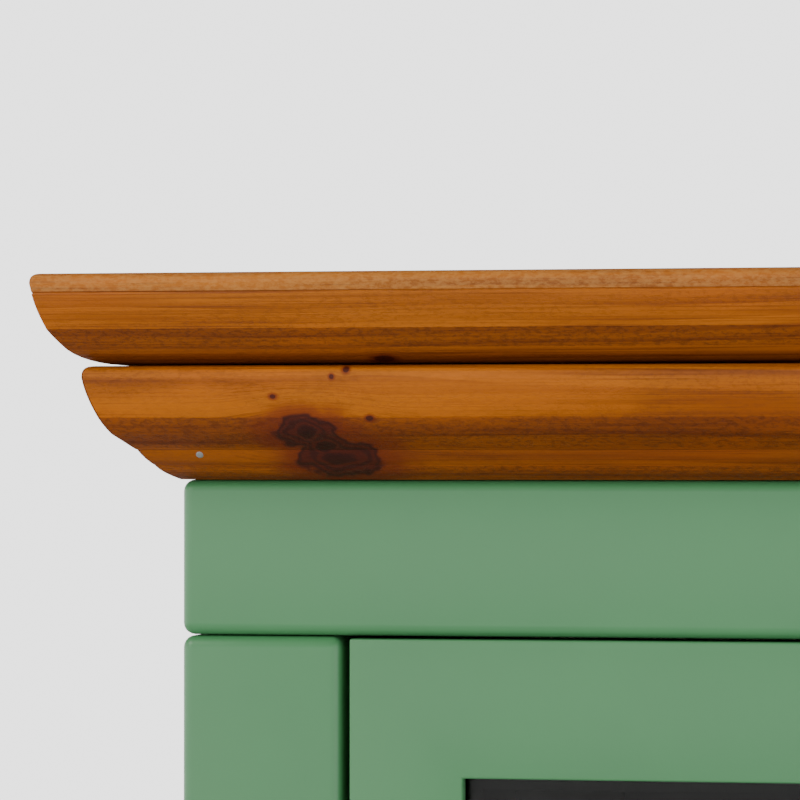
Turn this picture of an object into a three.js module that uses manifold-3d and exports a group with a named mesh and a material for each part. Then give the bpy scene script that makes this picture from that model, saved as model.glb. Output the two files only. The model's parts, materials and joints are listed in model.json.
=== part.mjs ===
// A wood burning stove in a painted cast-iron casing, under a stained pine cornice.
// Millimetres. +X is to the right of someone facing the door, +Y towards the wall, +Z up.
// The origin is on the floor, at the middle of the whole stove's width and depth.
// Every size that can be set by itself is a named value in this first section.

import * as THREE from "three";
import { RoundedBoxGeometry } from "three/addons/geometries/RoundedBoxGeometry.js";
import { mergeVertices } from "three/addons/utils/BufferGeometryUtils.js";
import Module from "manifold-3d";

// Casing: a cage of round-edged bars with flat panels between them.
const casingWidth = 600;
const casingDepth = 360;
const plinthHeight = 20;
const plinthSetback = 18;
const plinthWidth = 38;
const baseRailHeight = 57.6;
const topRailHeight = 47.5;
const railThickness = 36;
const postSide = 50;
const barRound = 3.6;
const barWall = 7; // of the channel that each bar is cast as
const panelThickness = 4;
const panelRecess = 4;
const louvreWidth = 5;
const louvreHeight = 60;
const louvrePitch = 18;
const louvreMargin = 26;
const rearPanelRecess = 3;
const rearPanelThickness = 3;
const basePlateThickness = 4;
const topPlateThickness = 3;

// What is stacked between the base rail and the top rail.
const drawerFrontHeight = 78;
const airRailHeight = 26;
const doorHeight = 420;

// Clearances.
const seat = 0.3; // kept between two pieces that rest on each other
const reveal = 0.9; // over and under the door and the drawer front
const doorSideGap = 2.6; // beside the door and the drawer front
const runningGap = 0.5; // round a rod, spindle or drawer that moves

// Cornice: a moulding on three sides, with a moulded board on top.
const mouldingHeight = 34.4;
const mouldingWidth = 40; // how far the moulding reaches in over the casing
const boardThickness = 27;
const quirkReach = 11; // how far each arris of the moulding stands out from the casing
const quirkHeight = 9.2;
const noseReach = 24.8;
const noseHeight = 30.5;
const noseFoot = 17.5;
const boardRootReach = 17.6;
const boardReach = 37.6;
const boardNoseHeight = 23.8;
const arrisRound = 2.8;

// Door.
const doorThickness = 18;
const doorStile = 35;
const doorRail = 42;
const glassLip = 6; // depth of the frame in front of the glass seat
const glassOverlap = 8;
const glassThickness = 4;
const glassTape = 0.9;
const glassPlay = 0.6;
const retainerThickness = 1.5;
const retainerWidth = 12;
const ropeThickness = 5.4;
const ropeWidth = 7;
const ropeMargin = 18.8; // from the door's edge to the rope

// Hinges.
const hingeHeight = 50;
const hingeInset = 85; // from the door's end to the middle of the hinge
const knuckleRadius = 4.5;
const knuckleStandOff = 5; // from the casing's face to the pin's axis
const knuckleGap = 0.4;
const hingePinRadius = 2.2;
const hingePinPlay = 0.3;
const pinHeadRadius = 3.6;
const pinHeadHeight = 1.5;
const leafThickness = 1;
const leafDepth = 24;

// Latch handle.
const spindleRadius = 4.5;
const spindleInset = 9; // from the door's edge to the spindle's axis
const roseRadius = 8.4;
const roseThickness = 3;
const leverStandOff = 22; // from the door's face to the grip's axis
const leverNeck = 20; // from the spindle to the top of the grip
const leverBarWidth = 10;
const leverBarDepth = 8;
const tangRadius = 3.4;
const tangLength = 40;
const gripLength = 100;
const gripRadius = 9;
const camThickness = 5;
const camReach = 22; // from the spindle's axis to the tip of the tongue
const camWidth = 9;
const camEye = 2.5; // metal round the spindle
const camSetback = 4.6; // from the door's back to the tongue
const strikerThickness = 1.3;
const strikerBorder = 12;
const pocketDepth = 13;
const pocketPlay = 2;

// Firebox.
const doorSealGap = 6; // between the door's back and the mouth plate
const mouthPlateThickness = 6;
const mouthPlateMargin = 17.4; // from the door's side edge to the mouth plate's
const mouthHalfWidth = 200;
const mouthBottomRise = 37;
const mouthTopDrop = 32;
const fireboxHalfWidth = 215;
const fireboxRearGap = 35;
const fireboxPlate = 5;
const floorRise = 5.4; // from the door's foot to the firebox's floor plate
const roofDrop = 9.3; // from the door's head to the firebox's roof
const roofBoardThickness = 25;
const brickThickness = 25;
const brickBelowFlue = 27.4; // from the flue's lower edge down to the rear brick
const baffleThickness = 20;
const baffleAngle = 14; // degrees, rising towards the door
const baffleFrontGap = 70;
const guardThickness = 6;
const guardHeight = 42;
const guardSlotWidth = 24;
const guardSlotHeight = 20;
const guardSlotPitch = 38;

// Grate and shaker.
const grateWidth = 200;
const grateLength = 180;
const grateLedge = 10;
const grateHeight = 12;
const grateSlotWidth = 9;
const grateSlotPitch = 18;
const grateSlotLength = 156;
const shakerThickness = 5.4;
const shakerMargin = 12; // of the shaker plate round the slots, front and back
const shakerLedge = 8;
const shakerRodRadius = 4;

// Ash drawer.
const ashBoxHalfWidth = 190;
const ashBoxWall = 4;
const ashBoxFloorRise = 6; // over the base rail
const ashBoxFloor = 3;
const ashPanDrop = 5.4; // from the drawer front's top edge to the pan's
const ashPanWall = 2;
const ashPanPlay = 3;
const ashPanRearPlay = 12;
const drawerFrontThickness = 18;

// Air controls.
const airRailSetback = 3;
const airRailThickness = 15;
const airPortWidth = 9;
const airPortHeight = 12;
const airPortCount = 4;
const airPortOffset = 34; // from the knob to the first port
const airKnobOffset = 130; // from the middle of the stove to the knob
const airSlideThickness = 2.5;
const airSlideHeight = 18;
const airSlideMargin = 9;
const airStemRadius = 3;
const airTravel = 9;

// Knobs.
const knobRadius = 8;
const knobLength = 18;
const knobNeck = 0.75; // the neck's radius over the knob's
const drawerKnobRadius = 15;
const drawerKnobLength = 28;
const knobStandOff = 1;

// Flue.
const flueDrop = 109.6; // from the door's top edge to the flue's axis
const flueInnerRadius = 72;
const flueWall = 4;
const flueFlangeRadius = 96;
const flueFlangeThickness = 6;
const flueStub = 46; // how far the collar stands out behind the casing
const flueHolePlay = 3;

// How finely round things are cut.
const roundSteps = 32;
const smallRoundSteps = 20;
const barRoundSteps = 2;
const curveSteps = 4;

// ---------------------------------------------------------------------------------------
// Heights and depths that follow from the sizes above.

const halfWidth = casingWidth / 2;
const openingHalf = halfWidth - postSide;
const doorHalf = openingHalf - doorSideGap;

const baseFoot = plinthHeight + seat;
const baseHead = baseFoot + baseRailHeight;
const drawerFoot = baseHead + reveal;
const drawerHead = drawerFoot + drawerFrontHeight;
const airRailFoot = drawerHead + reveal;
const airRailHead = airRailFoot + airRailHeight;
const airRailMiddle = (airRailFoot + airRailHead) / 2;
const doorFoot = airRailHead + reveal;
const doorHead = doorFoot + doorHeight;
const topFoot = doorHead + reveal;
const topHead = topFoot + topRailHeight;
const postFoot = baseHead + seat;
const postHead = topFoot - seat;
const mouldingFoot = topHead + seat;
const boardFoot = mouldingFoot + mouldingHeight + seat;

const wholeDepth = boardReach + casingDepth + flueStub;
const frontFace = -wholeDepth / 2 + boardReach;
const backFace = frontFace + casingDepth;
const behindRail = frontFace + railThickness + seat;
const behindPost = frontFace + postSide + seat;

const doorBack = frontFace + doorThickness;
const mouthPlateFront = doorBack + doorSealGap;
const fireboxFront = mouthPlateFront + mouthPlateThickness + seat;
const fireboxBack = backFace - fireboxRearGap;
const floorPlateFoot = doorFoot + floorRise;
const floorPlateHead = floorPlateFoot + fireboxPlate;
const wrapFoot = floorPlateHead + seat;
const roofFoot = doorHead - roofDrop - fireboxPlate;
const wrapHead = roofFoot - seat;
const wallInside = fireboxHalfWidth - fireboxPlate - seat;
const hearthHead = wrapFoot + brickThickness;
const brickFoot = hearthHead + seat;
const rearBrickBack = fireboxBack - fireboxPlate - seat;
const rearBrickFront = rearBrickBack - brickThickness;
const flueHeight = doorHead - flueDrop;
const rearBrickHead = flueHeight - flueInnerRadius - brickBelowFlue;
const grateMiddle = (fireboxFront + rearBrickFront) / 2;
const mouthPlateHalf = doorHalf - mouthPlateMargin;

const hingeX = -(openingHalf - doorSideGap / 2);
const hingeY = frontFace - knuckleStandOff;
const hingeHeights = { upper: doorHead - hingeInset, lower: doorFoot + hingeInset };
const spindleX = doorHalf - spindleInset;
const spindleZ = (doorFoot + doorHead) / 2;
const camFront = doorBack + camSetback;

// ---------------------------------------------------------------------------------------
// Solids.

const wasm = await Module();
wasm.setup();

// A closed geometry as a solid that can be cut and joined.
function solid(geometry) {
  const bare = geometry.index ? geometry.toNonIndexed() : geometry.clone();
  bare.deleteAttribute("normal");
  bare.deleteAttribute("uv");
  const merged = mergeVertices(bare, 1e-3);
  return new wasm.Manifold(
    new wasm.Mesh({
      numProp: 3,
      vertProperties: new Float32Array(merged.attributes.position.array),
      triVerts: new Uint32Array(merged.index.array),
    }),
  );
}

// A solid as a geometry that a mesh can show.
function shown(body) {
  const mesh = body.getMesh();
  const positions = new Float32Array(mesh.numVert * 3);
  for (let i = 0; i < mesh.numVert; i++) {
    positions.set(mesh.vertProperties.subarray(i * mesh.numProp, i * mesh.numProp + 3), i * 3);
  }
  const geometry = new THREE.BufferGeometry();
  geometry.setAttribute("position", new THREE.BufferAttribute(positions, 3));
  geometry.setIndex(new THREE.BufferAttribute(new Uint32Array(mesh.triVerts), 1));
  const faceted = geometry.toNonIndexed();
  faceted.computeVertexNormals();
  return faceted;
}

// A block between two corners.
function block([x0, y0, z0], [x1, y1, z1]) {
  const geometry = new THREE.BoxGeometry(x1 - x0, y1 - y0, z1 - z0);
  return geometry.translate((x0 + x1) / 2, (y0 + y1) / 2, (z0 + z1) / 2);
}

function cut(body, ...tools) {
  return tools.reduce((left, tool) => left.subtract(solid(tool)), body);
}

function joined(...geometries) {
  return geometries.map(solid).reduce((whole, next) => whole.add(next));
}

// An outline of [y, z] points, carried along X.
function alongX(points, x0, x1) {
  const shape = new THREE.Shape(points.map(([y, z]) => new THREE.Vector2(y, z)));
  const geometry = new THREE.ExtrudeGeometry(shape, { depth: x1 - x0, bevelEnabled: false });
  const turn = new THREE.Matrix4().makeBasis(
    new THREE.Vector3(0, 1, 0),
    new THREE.Vector3(0, 0, 1),
    new THREE.Vector3(1, 0, 0),
  );
  return geometry.applyMatrix4(turn).translate(x0, 0, 0);
}

// An outline of [x, z] points, carried along Y.
function alongY(points, y0, y1) {
  const shape = new THREE.Shape(points.map(([x, z]) => new THREE.Vector2(z, x)));
  const geometry = new THREE.ExtrudeGeometry(shape, { depth: y1 - y0, bevelEnabled: false });
  const turn = new THREE.Matrix4().makeBasis(
    new THREE.Vector3(0, 0, 1),
    new THREE.Vector3(1, 0, 0),
    new THREE.Vector3(0, 1, 0),
  );
  return geometry.applyMatrix4(turn).translate(0, y0, 0);
}

// An outline of [x, y] points, carried up Z.
function alongZ(points, z0, z1) {
  const shape = new THREE.Shape(points.map(([x, y]) => new THREE.Vector2(x, y)));
  const geometry = new THREE.ExtrudeGeometry(shape, { depth: z1 - z0, bevelEnabled: false });
  return geometry.translate(0, 0, z0);
}

// A round bar between two points on a line along Y, or standing along Z.
function rodY(radius, x, z, y0, y1, steps = smallRoundSteps) {
  const geometry = new THREE.CylinderGeometry(radius, radius, y1 - y0, steps);
  return geometry.translate(x, (y0 + y1) / 2, z);
}

function rodZ(radius, x, y, z0, z1, steps = smallRoundSteps) {
  const geometry = new THREE.CylinderGeometry(radius, radius, z1 - z0, steps);
  return geometry.rotateX(Math.PI / 2).translate(x, y, (z0 + z1) / 2);
}

// A profile of [radius, distance] points, turned about the Y axis.
function turned(points, steps = roundSteps) {
  return new THREE.LatheGeometry(
    points.map(([radius, distance]) => new THREE.Vector2(radius, distance)),
    steps,
  );
}

// ---------------------------------------------------------------------------------------
// Materials. Each call makes a new one, so every mesh has its own.

const finish = (color, roughness, metalness) => () =>
  new THREE.MeshStandardMaterial({ color, roughness, metalness });
const greenPaint = finish(0x769b79, 0.45, 0);
const stainedPine = finish(0xa05a16, 0.5, 0);
const blackIron = finish(0x1d1d1c, 0.65, 0.4);
const blackSteel = finish(0x2b2b2a, 0.55, 0.5);
const bareSteel = finish(0x8f9294, 0.35, 0.9);
const firebrick = finish(0xcbb892, 0.95, 0);
const whiteBoard = finish(0xd9d3c3, 0.95, 0);
const blackRope = finish(0x2f2e2d, 1, 0);
const darkGlass = finish(0x292d27, 0.08, 0);

function piece(name, geometry, material, position = [0, 0, 0]) {
  const mesh = new THREE.Mesh(geometry, material());
  mesh.name = name;
  mesh.position.set(...position);
  return mesh;
}

// ---------------------------------------------------------------------------------------
// Casing.

// A cast channel with all its outer edges rounded, between two corners. Its hollow opens
// on the side that the outward direction [x, y] names.
function bar(name, low, high, [openX, openY], ...cuts) {
  const size = low.map((value, i) => high[i] - value);
  const middle = low.map((value, i) => (value + high[i]) / 2);
  const outside = new RoundedBoxGeometry(...size, barRoundSteps, barRound).translate(...middle);
  const hollow = block(
    [
      low[0] + (openX < 0 ? -1 : barWall),
      low[1] + (openY < 0 ? -1 : barWall),
      low[2] + barWall,
    ],
    [
      high[0] - (openX > 0 ? -1 : barWall),
      high[1] - (openY > 0 ? -1 : barWall),
      high[2] - barWall,
    ],
  );
  return piece(name, shown(cut(solid(outside), hollow, ...cuts)), greenPaint);
}

function rails() {
  const made = [];
  const inner = halfWidth - railThickness;
  for (const [level, foot, head] of [["base", baseFoot, baseHead], ["top", topFoot, topHead]]) {
    const frontHead = [halfWidth, frontFace + railThickness, head];
    made.push(bar(`${level}_rail_front`, [-halfWidth, frontFace, foot], frontHead, [0, 1]));
    const leftHead = [-inner, backFace, head];
    made.push(bar(`${level}_rail_left`, [-halfWidth, behindRail, foot], leftHead, [1, 0]));
    const rightHead = [halfWidth, backFace, head];
    made.push(bar(`${level}_rail_right`, [inner, behindRail, foot], rightHead, [-1, 0]));
  }
  return made;
}

// The mortise in the right front post that the latch's tongue turns into.
const pocket = {
  low: [openingHalf - 1, camFront - pocketPlay, spindleZ - camWidth / 2 - pocketPlay],
  high: [
    openingHalf + pocketDepth,
    camFront + camThickness + pocketPlay,
    spindleZ + camReach + pocketPlay,
  ],
};

function posts() {
  const mortise = block(pocket.low, pocket.high);
  return [["left", -1, []], ["right", 1, [mortise]]].flatMap(([side, sign, cuts]) => {
    const [x0, x1] = [sign * halfWidth, sign * openingHalf].sort((a, b) => a - b);
    const rearLow = [x0, backFace - postSide, postFoot];
    const frontHigh = [x1, frontFace + postSide, postHead];
    return [
      bar(`post_rear_${side}`, rearLow, [x1, backFace, postHead], [0, -1]),
      bar(`post_front_${side}`, [x0, frontFace, postFoot], frontHigh, [0, 1], ...cuts),
    ];
  });
}

// Upright slots in a row along one direction, centred on middle.
function louvres(middle, room, make) {
  const count = Math.floor((room - 2 * louvreMargin - louvreWidth) / louvrePitch) + 1;
  const first = middle - ((count - 1) * louvrePitch) / 2;
  return Array.from({ length: count }, (_, i) => make(first + i * louvrePitch));
}

const louvreRows = [postFoot + louvreMargin, postHead - louvreMargin - louvreHeight];

function sidePanel(side, sign) {
  const faces = [sign * (halfWidth - panelRecess), sign * (halfWidth - panelRecess - panelThickness)];
  const [x0, x1] = faces.sort((a, b) => a - b);
  const y0 = behindPost;
  const y1 = backFace - postSide - seat;
  const slots = louvreRows.flatMap((z) =>
    louvres((y0 + y1) / 2, y1 - y0, (y) =>
      block([x0 - 1, y - louvreWidth / 2, z], [x1 + 1, y + louvreWidth / 2, z + louvreHeight]),
    ),
  );
  const sheet = solid(block([x0, y0, postFoot], [x1, y1, postHead]));
  return piece(`side_panel_${side}`, shown(cut(sheet, ...slots)), greenPaint);
}

const plateHalf = halfWidth - railThickness - seat;
const plateBack = backFace - rearPanelRecess - rearPanelThickness - seat;

function rearPanel() {
  const half = openingHalf - seat;
  const y1 = backFace - rearPanelRecess;
  const y0 = y1 - rearPanelThickness;
  const slots = louvreRows.flatMap((z) =>
    louvres(0, 2 * half, (x) =>
      block([x - louvreWidth / 2, y0 - 1, z], [x + louvreWidth / 2, y1 + 1, z + louvreHeight]),
    ).filter(() => z + louvreHeight < flueHeight - flueFlangeRadius),
  );
  const hole = flueInnerRadius + flueWall + flueHolePlay;
  const [foot, head] = [baseFoot + basePlateThickness + seat, topHead - seat];
  const sheet = joined(
    block([-half, y0, foot], [half, y1, head]),
    block([-plateHalf, y0, foot], [plateHalf, y1, baseHead]),
    block([-plateHalf, y0, topFoot], [plateHalf, y1, head]),
  );
  const flue = rodY(hole, 0, flueHeight, y0 - 1, y1 + 1, roundSteps);
  return piece("rear_panel", shown(cut(sheet, flue, ...slots)), blackSteel);
}

function plates() {
  const floorHead = baseFoot + basePlateThickness;
  const roofUnder = topHead - topPlateThickness;
  const floor = block([-plateHalf, behindRail, baseFoot], [plateHalf, plateBack, floorHead]);
  const roof = block([-plateHalf, behindRail, roofUnder], [plateHalf, plateBack, topHead]);
  return [piece("base_plate", floor, blackSteel), piece("casing_top_plate", roof, blackSteel)];
}

function plinth() {
  const outerX = halfWidth - plinthSetback;
  const outerFront = frontFace + plinthSetback;
  const outerBack = backFace - plinthSetback;
  const outer = block([-outerX, outerFront, 0], [outerX, outerBack, plinthHeight]);
  const innerX = outerX - plinthWidth;
  const inner = block(
    [-innerX, outerFront + plinthWidth, -1],
    [innerX, outerBack - plinthWidth, plinthHeight + 1],
  );
  return piece("plinth", shown(cut(solid(outer), inner)), blackSteel);
}

// ---------------------------------------------------------------------------------------
// Cornice. A profile is a list of [reach, height] points: how far it stands out from the
// casing's face, and how high over its own foot.

// A bowed line from one point to another, drawn towards a third without reaching it.
function bow(from, towards, to) {
  const curve = new THREE.QuadraticBezierCurve(
    new THREE.Vector2(...from),
    new THREE.Vector2(...towards),
    new THREE.Vector2(...to),
  );
  return curve.getPoints(curveSteps).map(({ x, y }) => [x, y]);
}

// The rounded top corner of a profile whose face stands at that reach.
function topCorner(reach, height) {
  return bow([reach, height - arrisRound], [reach, height], [reach - arrisRound, height]);
}

const coveRise = (noseFoot - quirkReach) * 0.72;
const mouldingProfile = [
  ...bow([0, 0], [quirkReach * 0.72, quirkHeight * 0.35], [quirkReach, quirkHeight]),
  ...bow(
    [noseFoot, quirkHeight + coveRise],
    [noseReach * 0.92, quirkHeight + coveRise * 2],
    [noseReach, noseHeight],
  ),
  ...topCorner(noseReach, mouldingHeight),
];

const boardProfile = [
  ...bow(
    [boardRootReach, 0],
    [boardReach - boardNoseHeight * 0.15, boardNoseHeight * 0.15],
    [boardReach, boardNoseHeight],
  ),
  ...topCorner(boardReach, boardThickness),
];

// A slab over the casing with the profile on its front and sides and a flat back.
function mouldedSlab(profile, foot, height) {
  const side = profile.map(([reach, z]) => [halfWidth + reach, foot + z]);
  const mirrored = side.map(([x, z]) => [-x, z]).reverse();
  const across = [...side, ...mirrored];
  const front = profile.map(([reach, z]) => [frontFace - reach, foot + z]);
  const deep = [...front, [backFace, foot + height], [backFace, foot]];
  const reach = halfWidth + boardReach + 1;
  const first = solid(alongY(across, frontFace - boardReach - 1, backFace));
  return first.intersect(solid(alongX(deep, -reach, reach)));
}

function cornice() {
  const slab = mouldedSlab(mouldingProfile, mouldingFoot, mouldingHeight);
  const inside = halfWidth - mouldingWidth;
  const insideFront = frontFace + mouldingWidth;
  const [z0, z1] = [mouldingFoot - 1, mouldingFoot + mouldingHeight + 1];
  const ring = cut(slab, block([-inside, insideFront, z0], [inside, backFace + 1, z1]));
  const out = boardReach + 1;
  const mitre = seat / Math.SQRT2;
  const made = [];
  const frontWedge = alongZ(
    [
      [-inside - mouldingWidth - out + mitre, frontFace - out - mitre],
      [inside + mouldingWidth + out - mitre, frontFace - out - mitre],
      [inside - mitre, insideFront - mitre],
      [-inside + mitre, insideFront - mitre],
    ],
    z0,
    z1,
  );
  made.push(piece("moulding_front", shown(ring.intersect(solid(frontWedge))), stainedPine));
  for (const [side, sign] of [["left", -1], ["right", 1]]) {
    const corners = [
      [sign * (halfWidth + out + mitre), frontFace - out + mitre],
      [sign * (halfWidth + out + mitre), backFace + 1],
      [sign * (inside - 1), backFace + 1],
      [sign * (inside - 1), insideFront + 1 + mitre],
    ];
    const sideWedge = alongZ(sign > 0 ? corners : corners.reverse(), z0, z1);
    made.push(piece(`moulding_${side}`, shown(ring.intersect(solid(sideWedge))), stainedPine));
  }
  const board = mouldedSlab(boardProfile, boardFoot, boardThickness);
  made.push(piece("mantel_board", shown(board), stainedPine));
  return made;
}

// ---------------------------------------------------------------------------------------
// Firebox.

// A flat ring in the XZ plane, from y0 to y1.
function ringY(halfOuter, [zo0, zo1], halfInner, [zi0, zi1], y0, y1) {
  const outer = solid(block([-halfOuter, y0, zo0], [halfOuter, y1, zo1]));
  return cut(outer, block([-halfInner, y0 - 1, zi0], [halfInner, y1 + 1, zi1]));
}

function mouthPlate() {
  const ring = ringY(
    mouthPlateHalf,
    [doorFoot + 1, doorHead - 1],
    mouthHalfWidth,
    [doorFoot + mouthBottomRise, doorHead - mouthTopDrop],
    mouthPlateFront,
    mouthPlateFront + mouthPlateThickness,
  );
  return piece("mouth_plate", shown(ring), blackIron);
}

// The two sides and the back, bent from one sheet, with the flue's hole in the back.
function fireboxWrap() {
  const outer = fireboxHalfWidth;
  const inner = fireboxHalfWidth - fireboxPlate;
  const back = fireboxBack - fireboxPlate;
  const sheet = alongZ(
    [
      [-outer, fireboxFront],
      [-inner, fireboxFront],
      [-inner, back],
      [inner, back],
      [inner, fireboxFront],
      [outer, fireboxFront],
      [outer, fireboxBack],
      [-outer, fireboxBack],
    ],
    wrapFoot,
    wrapHead,
  );
  const flue = rodY(flueInnerRadius, 0, flueHeight, back - 1, fireboxBack + 1, roundSteps);
  return piece("firebox_wrap", shown(cut(solid(sheet), flue)), blackIron);
}

function fireboxPlates() {
  const half = fireboxHalfWidth;
  const roof = block([-half, fireboxFront, roofFoot], [half, fireboxBack, roofFoot + fireboxPlate]);
  const holeX = grateWidth / 2 - grateLedge;
  const holeY = grateLength / 2 - grateLedge;
  const hole = block(
    [-holeX, grateMiddle - holeY, floorPlateFoot - 1],
    [holeX, grateMiddle + holeY, floorPlateHead + 1],
  );
  const floorLow = [-half, fireboxFront, floorPlateFoot];
  const floor = solid(block(floorLow, [half, fireboxBack, floorPlateHead]));
  const boardFoot = roofFoot + fireboxPlate + seat;
  const boardHead = boardFoot + roofBoardThickness;
  const board = block([-half, behindRail, boardFoot], [half, fireboxBack, boardHead]);
  return [
    piece("firebox_roof", roof, blackIron),
    piece("firebox_floor", shown(cut(floor, hole)), blackIron),
    piece("heat_shield_board", board, whiteBoard),
  ];
}

const guardFront = fireboxFront + 2;
const brickFront = guardFront + guardThickness + 4;
const baffleSlope = Math.tan(THREE.MathUtils.degToRad(baffleAngle));

function bricks() {
  const inner = wallInside - brickThickness;
  const hearthLow = [-wallInside, fireboxFront, wrapFoot];
  const hearth = solid(block(hearthLow, [wallInside, rearBrickBack, hearthHead]));
  const grateHole = block(
    [-grateWidth / 2, grateMiddle - grateLength / 2, wrapFoot - 1],
    [grateWidth / 2, grateMiddle + grateLength / 2, hearthHead + 1],
  );
  const made = [piece("hearth_tile", shown(cut(hearth, grateHole)), firebrick)];
  const rearLow = [-wallInside, rearBrickFront, brickFoot];
  const rear = block(rearLow, [wallInside, rearBrickBack, rearBrickHead]);
  made.push(piece("brick_rear", rear, firebrick));
  const sideBack = rearBrickFront - seat;
  const rise = (sideBack - brickFront) * baffleSlope;
  const outline = [
    [brickFront, brickFoot],
    [sideBack, brickFoot],
    [sideBack, rearBrickHead],
    [brickFront, rearBrickHead + rise],
  ];
  made.push(piece("brick_left", alongX(outline, -wallInside, -inner), firebrick));
  made.push(piece("brick_right", alongX(outline, inner, wallInside), firebrick));
  return made;
}

// A sloping board that lies on the side bricks and the rear brick.
function baffle() {
  const run = rearBrickFront - fireboxFront - baffleFrontGap;
  const length = run / Math.cos(THREE.MathUtils.degToRad(baffleAngle));
  const lift = 2 * seat;
  const geometry = block([-wallInside + 1, -length, 0], [wallInside - 1, 0, baffleThickness]);
  const mesh = piece("baffle", geometry, whiteBoard, [0, rearBrickFront, rearBrickHead + lift]);
  mesh.rotation.x = -THREE.MathUtils.degToRad(baffleAngle);
  return mesh;
}

function logGuard() {
  const half = wallInside - 2;
  const foot = brickFoot;
  const count = Math.floor((2 * half - guardSlotPitch) / guardSlotPitch);
  const first = -((count - 1) * guardSlotPitch) / 2;
  const low = foot + (guardHeight - guardSlotHeight) / 2;
  const slots = Array.from({ length: count }, (_, i) => {
    const x = first + i * guardSlotPitch;
    return block(
      [x - guardSlotWidth / 2, guardFront - 1, low],
      [x + guardSlotWidth / 2, guardFront + guardThickness + 1, low + guardSlotHeight],
    );
  });
  const guardBack = guardFront + guardThickness;
  const strip = solid(block([-half, guardFront, foot], [half, guardBack, foot + guardHeight]));
  return piece("log_guard", shown(cut(strip, ...slots)), blackIron);
}

function flueCollar() {
  const outer = flueInnerRadius + flueWall;
  const foot = fireboxBack + seat;
  const length = backFace + flueStub - foot;
  const profile = [
    [flueInnerRadius, 0],
    [flueFlangeRadius, 0],
    [flueFlangeRadius, flueFlangeThickness],
    [outer, flueFlangeThickness],
    [outer, length],
    [flueInnerRadius, length],
    [flueInnerRadius, 0],
  ];
  return piece("flue_collar", turned(profile, roundSteps), blackIron, [0, foot, flueHeight]);
}

// ---------------------------------------------------------------------------------------
// Grate, shaker and ash drawer.

// The slots that the grate and the shaker share, running across the stove.
function grateSlots(z0, z1) {
  const count = Math.floor((grateLength - 2 * grateLedge - grateSlotWidth) / grateSlotPitch) + 1;
  const first = grateMiddle - ((count - 1) * grateSlotPitch) / 2;
  return Array.from({ length: count }, (_, i) => {
    const y = first + i * grateSlotPitch;
    return block(
      [-grateSlotLength / 2, y - grateSlotWidth / 2, z0],
      [grateSlotLength / 2, y + grateSlotWidth / 2, z1],
    );
  });
}

function grate() {
  const play = seat;
  const upperX = grateWidth / 2 - play;
  const upperY = grateLength / 2 - play;
  const lowerX = upperX - grateLedge;
  const lowerY = upperY - grateLedge;
  const foot = floorPlateFoot + seat;
  const head = wrapFoot + grateHeight;
  const body = joined(
    block([-upperX, grateMiddle - upperY, wrapFoot], [upperX, grateMiddle + upperY, head]),
    block([-lowerX, grateMiddle - lowerY, foot], [lowerX, grateMiddle + lowerY, wrapFoot + 1]),
  );
  return piece("grate", shown(cut(body, ...grateSlots(foot - 1, head + 1))), blackIron);
}

const ashBoxInside = ashBoxHalfWidth - ashBoxWall;
const shakerHead = floorPlateFoot - seat;
const shakerFoot = shakerHead - shakerThickness;

function shaker() {
  const half = ashBoxInside - runningGap;
  const reachY = grateLength / 2 - grateLedge + shakerMargin;
  const front = grateMiddle - reachY;
  const rodTop = airRailMiddle + shakerRodRadius;
  const knobSeat = frontFace - knobStandOff - knobLength / 2;
  const plate = block([-half, front, shakerFoot], [half, grateMiddle + reachY, shakerHead]);
  const lug = block([-8, front, airRailMiddle - shakerRodRadius - 2], [8, front + 8, shakerFoot + 1]);
  const rod = rodY(shakerRodRadius, 0, airRailMiddle, knobSeat, front + 4);
  const body = joined(plate, lug, rod);
  const slots = grateSlots(shakerFoot - 1, shakerHead + 1).filter(() => rodTop < shakerFoot);
  return piece("grate_shaker", shown(cut(body, ...slots)), blackIron);
}

const panFoot = baseHead + ashBoxFloorRise + ashBoxFloor + runningGap;
const ashBoxFront = frontFace + railThickness + 1;
const ashBoxBack = fireboxBack;

// Two walls that carry the firebox, a floor that the pan slides on, and a back.
function ashBox() {
  const outer = ashBoxHalfWidth;
  const inner = ashBoxInside;
  const ledge = inner - shakerLedge;
  const foot = baseFoot + basePlateThickness + seat;
  const head = floorPlateFoot - seat;
  const floorFoot = baseHead + ashBoxFloorRise;
  const floorHead = floorFoot + ashBoxFloor;
  const ledgeHead = shakerFoot - runningGap;
  const ledgeFoot = ledgeHead - ashBoxFloor;
  const side = [
    [outer, foot],
    [outer, head],
    [inner, head],
    [inner, ledgeHead],
    [ledge, ledgeHead],
    [ledge, ledgeFoot],
    [inner, ledgeFoot],
    [inner, floorHead],
  ];
  const under = [
    [inner, floorFoot],
    [inner, foot],
  ];
  const mirror = (points) => points.map(([x, z]) => [-x, z]).reverse();
  const section = [...side, ...mirror(side), ...mirror(under), ...under];
  const walls = alongY(section, ashBoxFront, ashBoxBack - ashBoxWall + 1);
  const back = block([-outer, ashBoxBack - ashBoxWall, foot], [outer, ashBoxBack, head]);
  return piece("ash_box", shown(joined(walls, back)), blackSteel);
}

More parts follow.
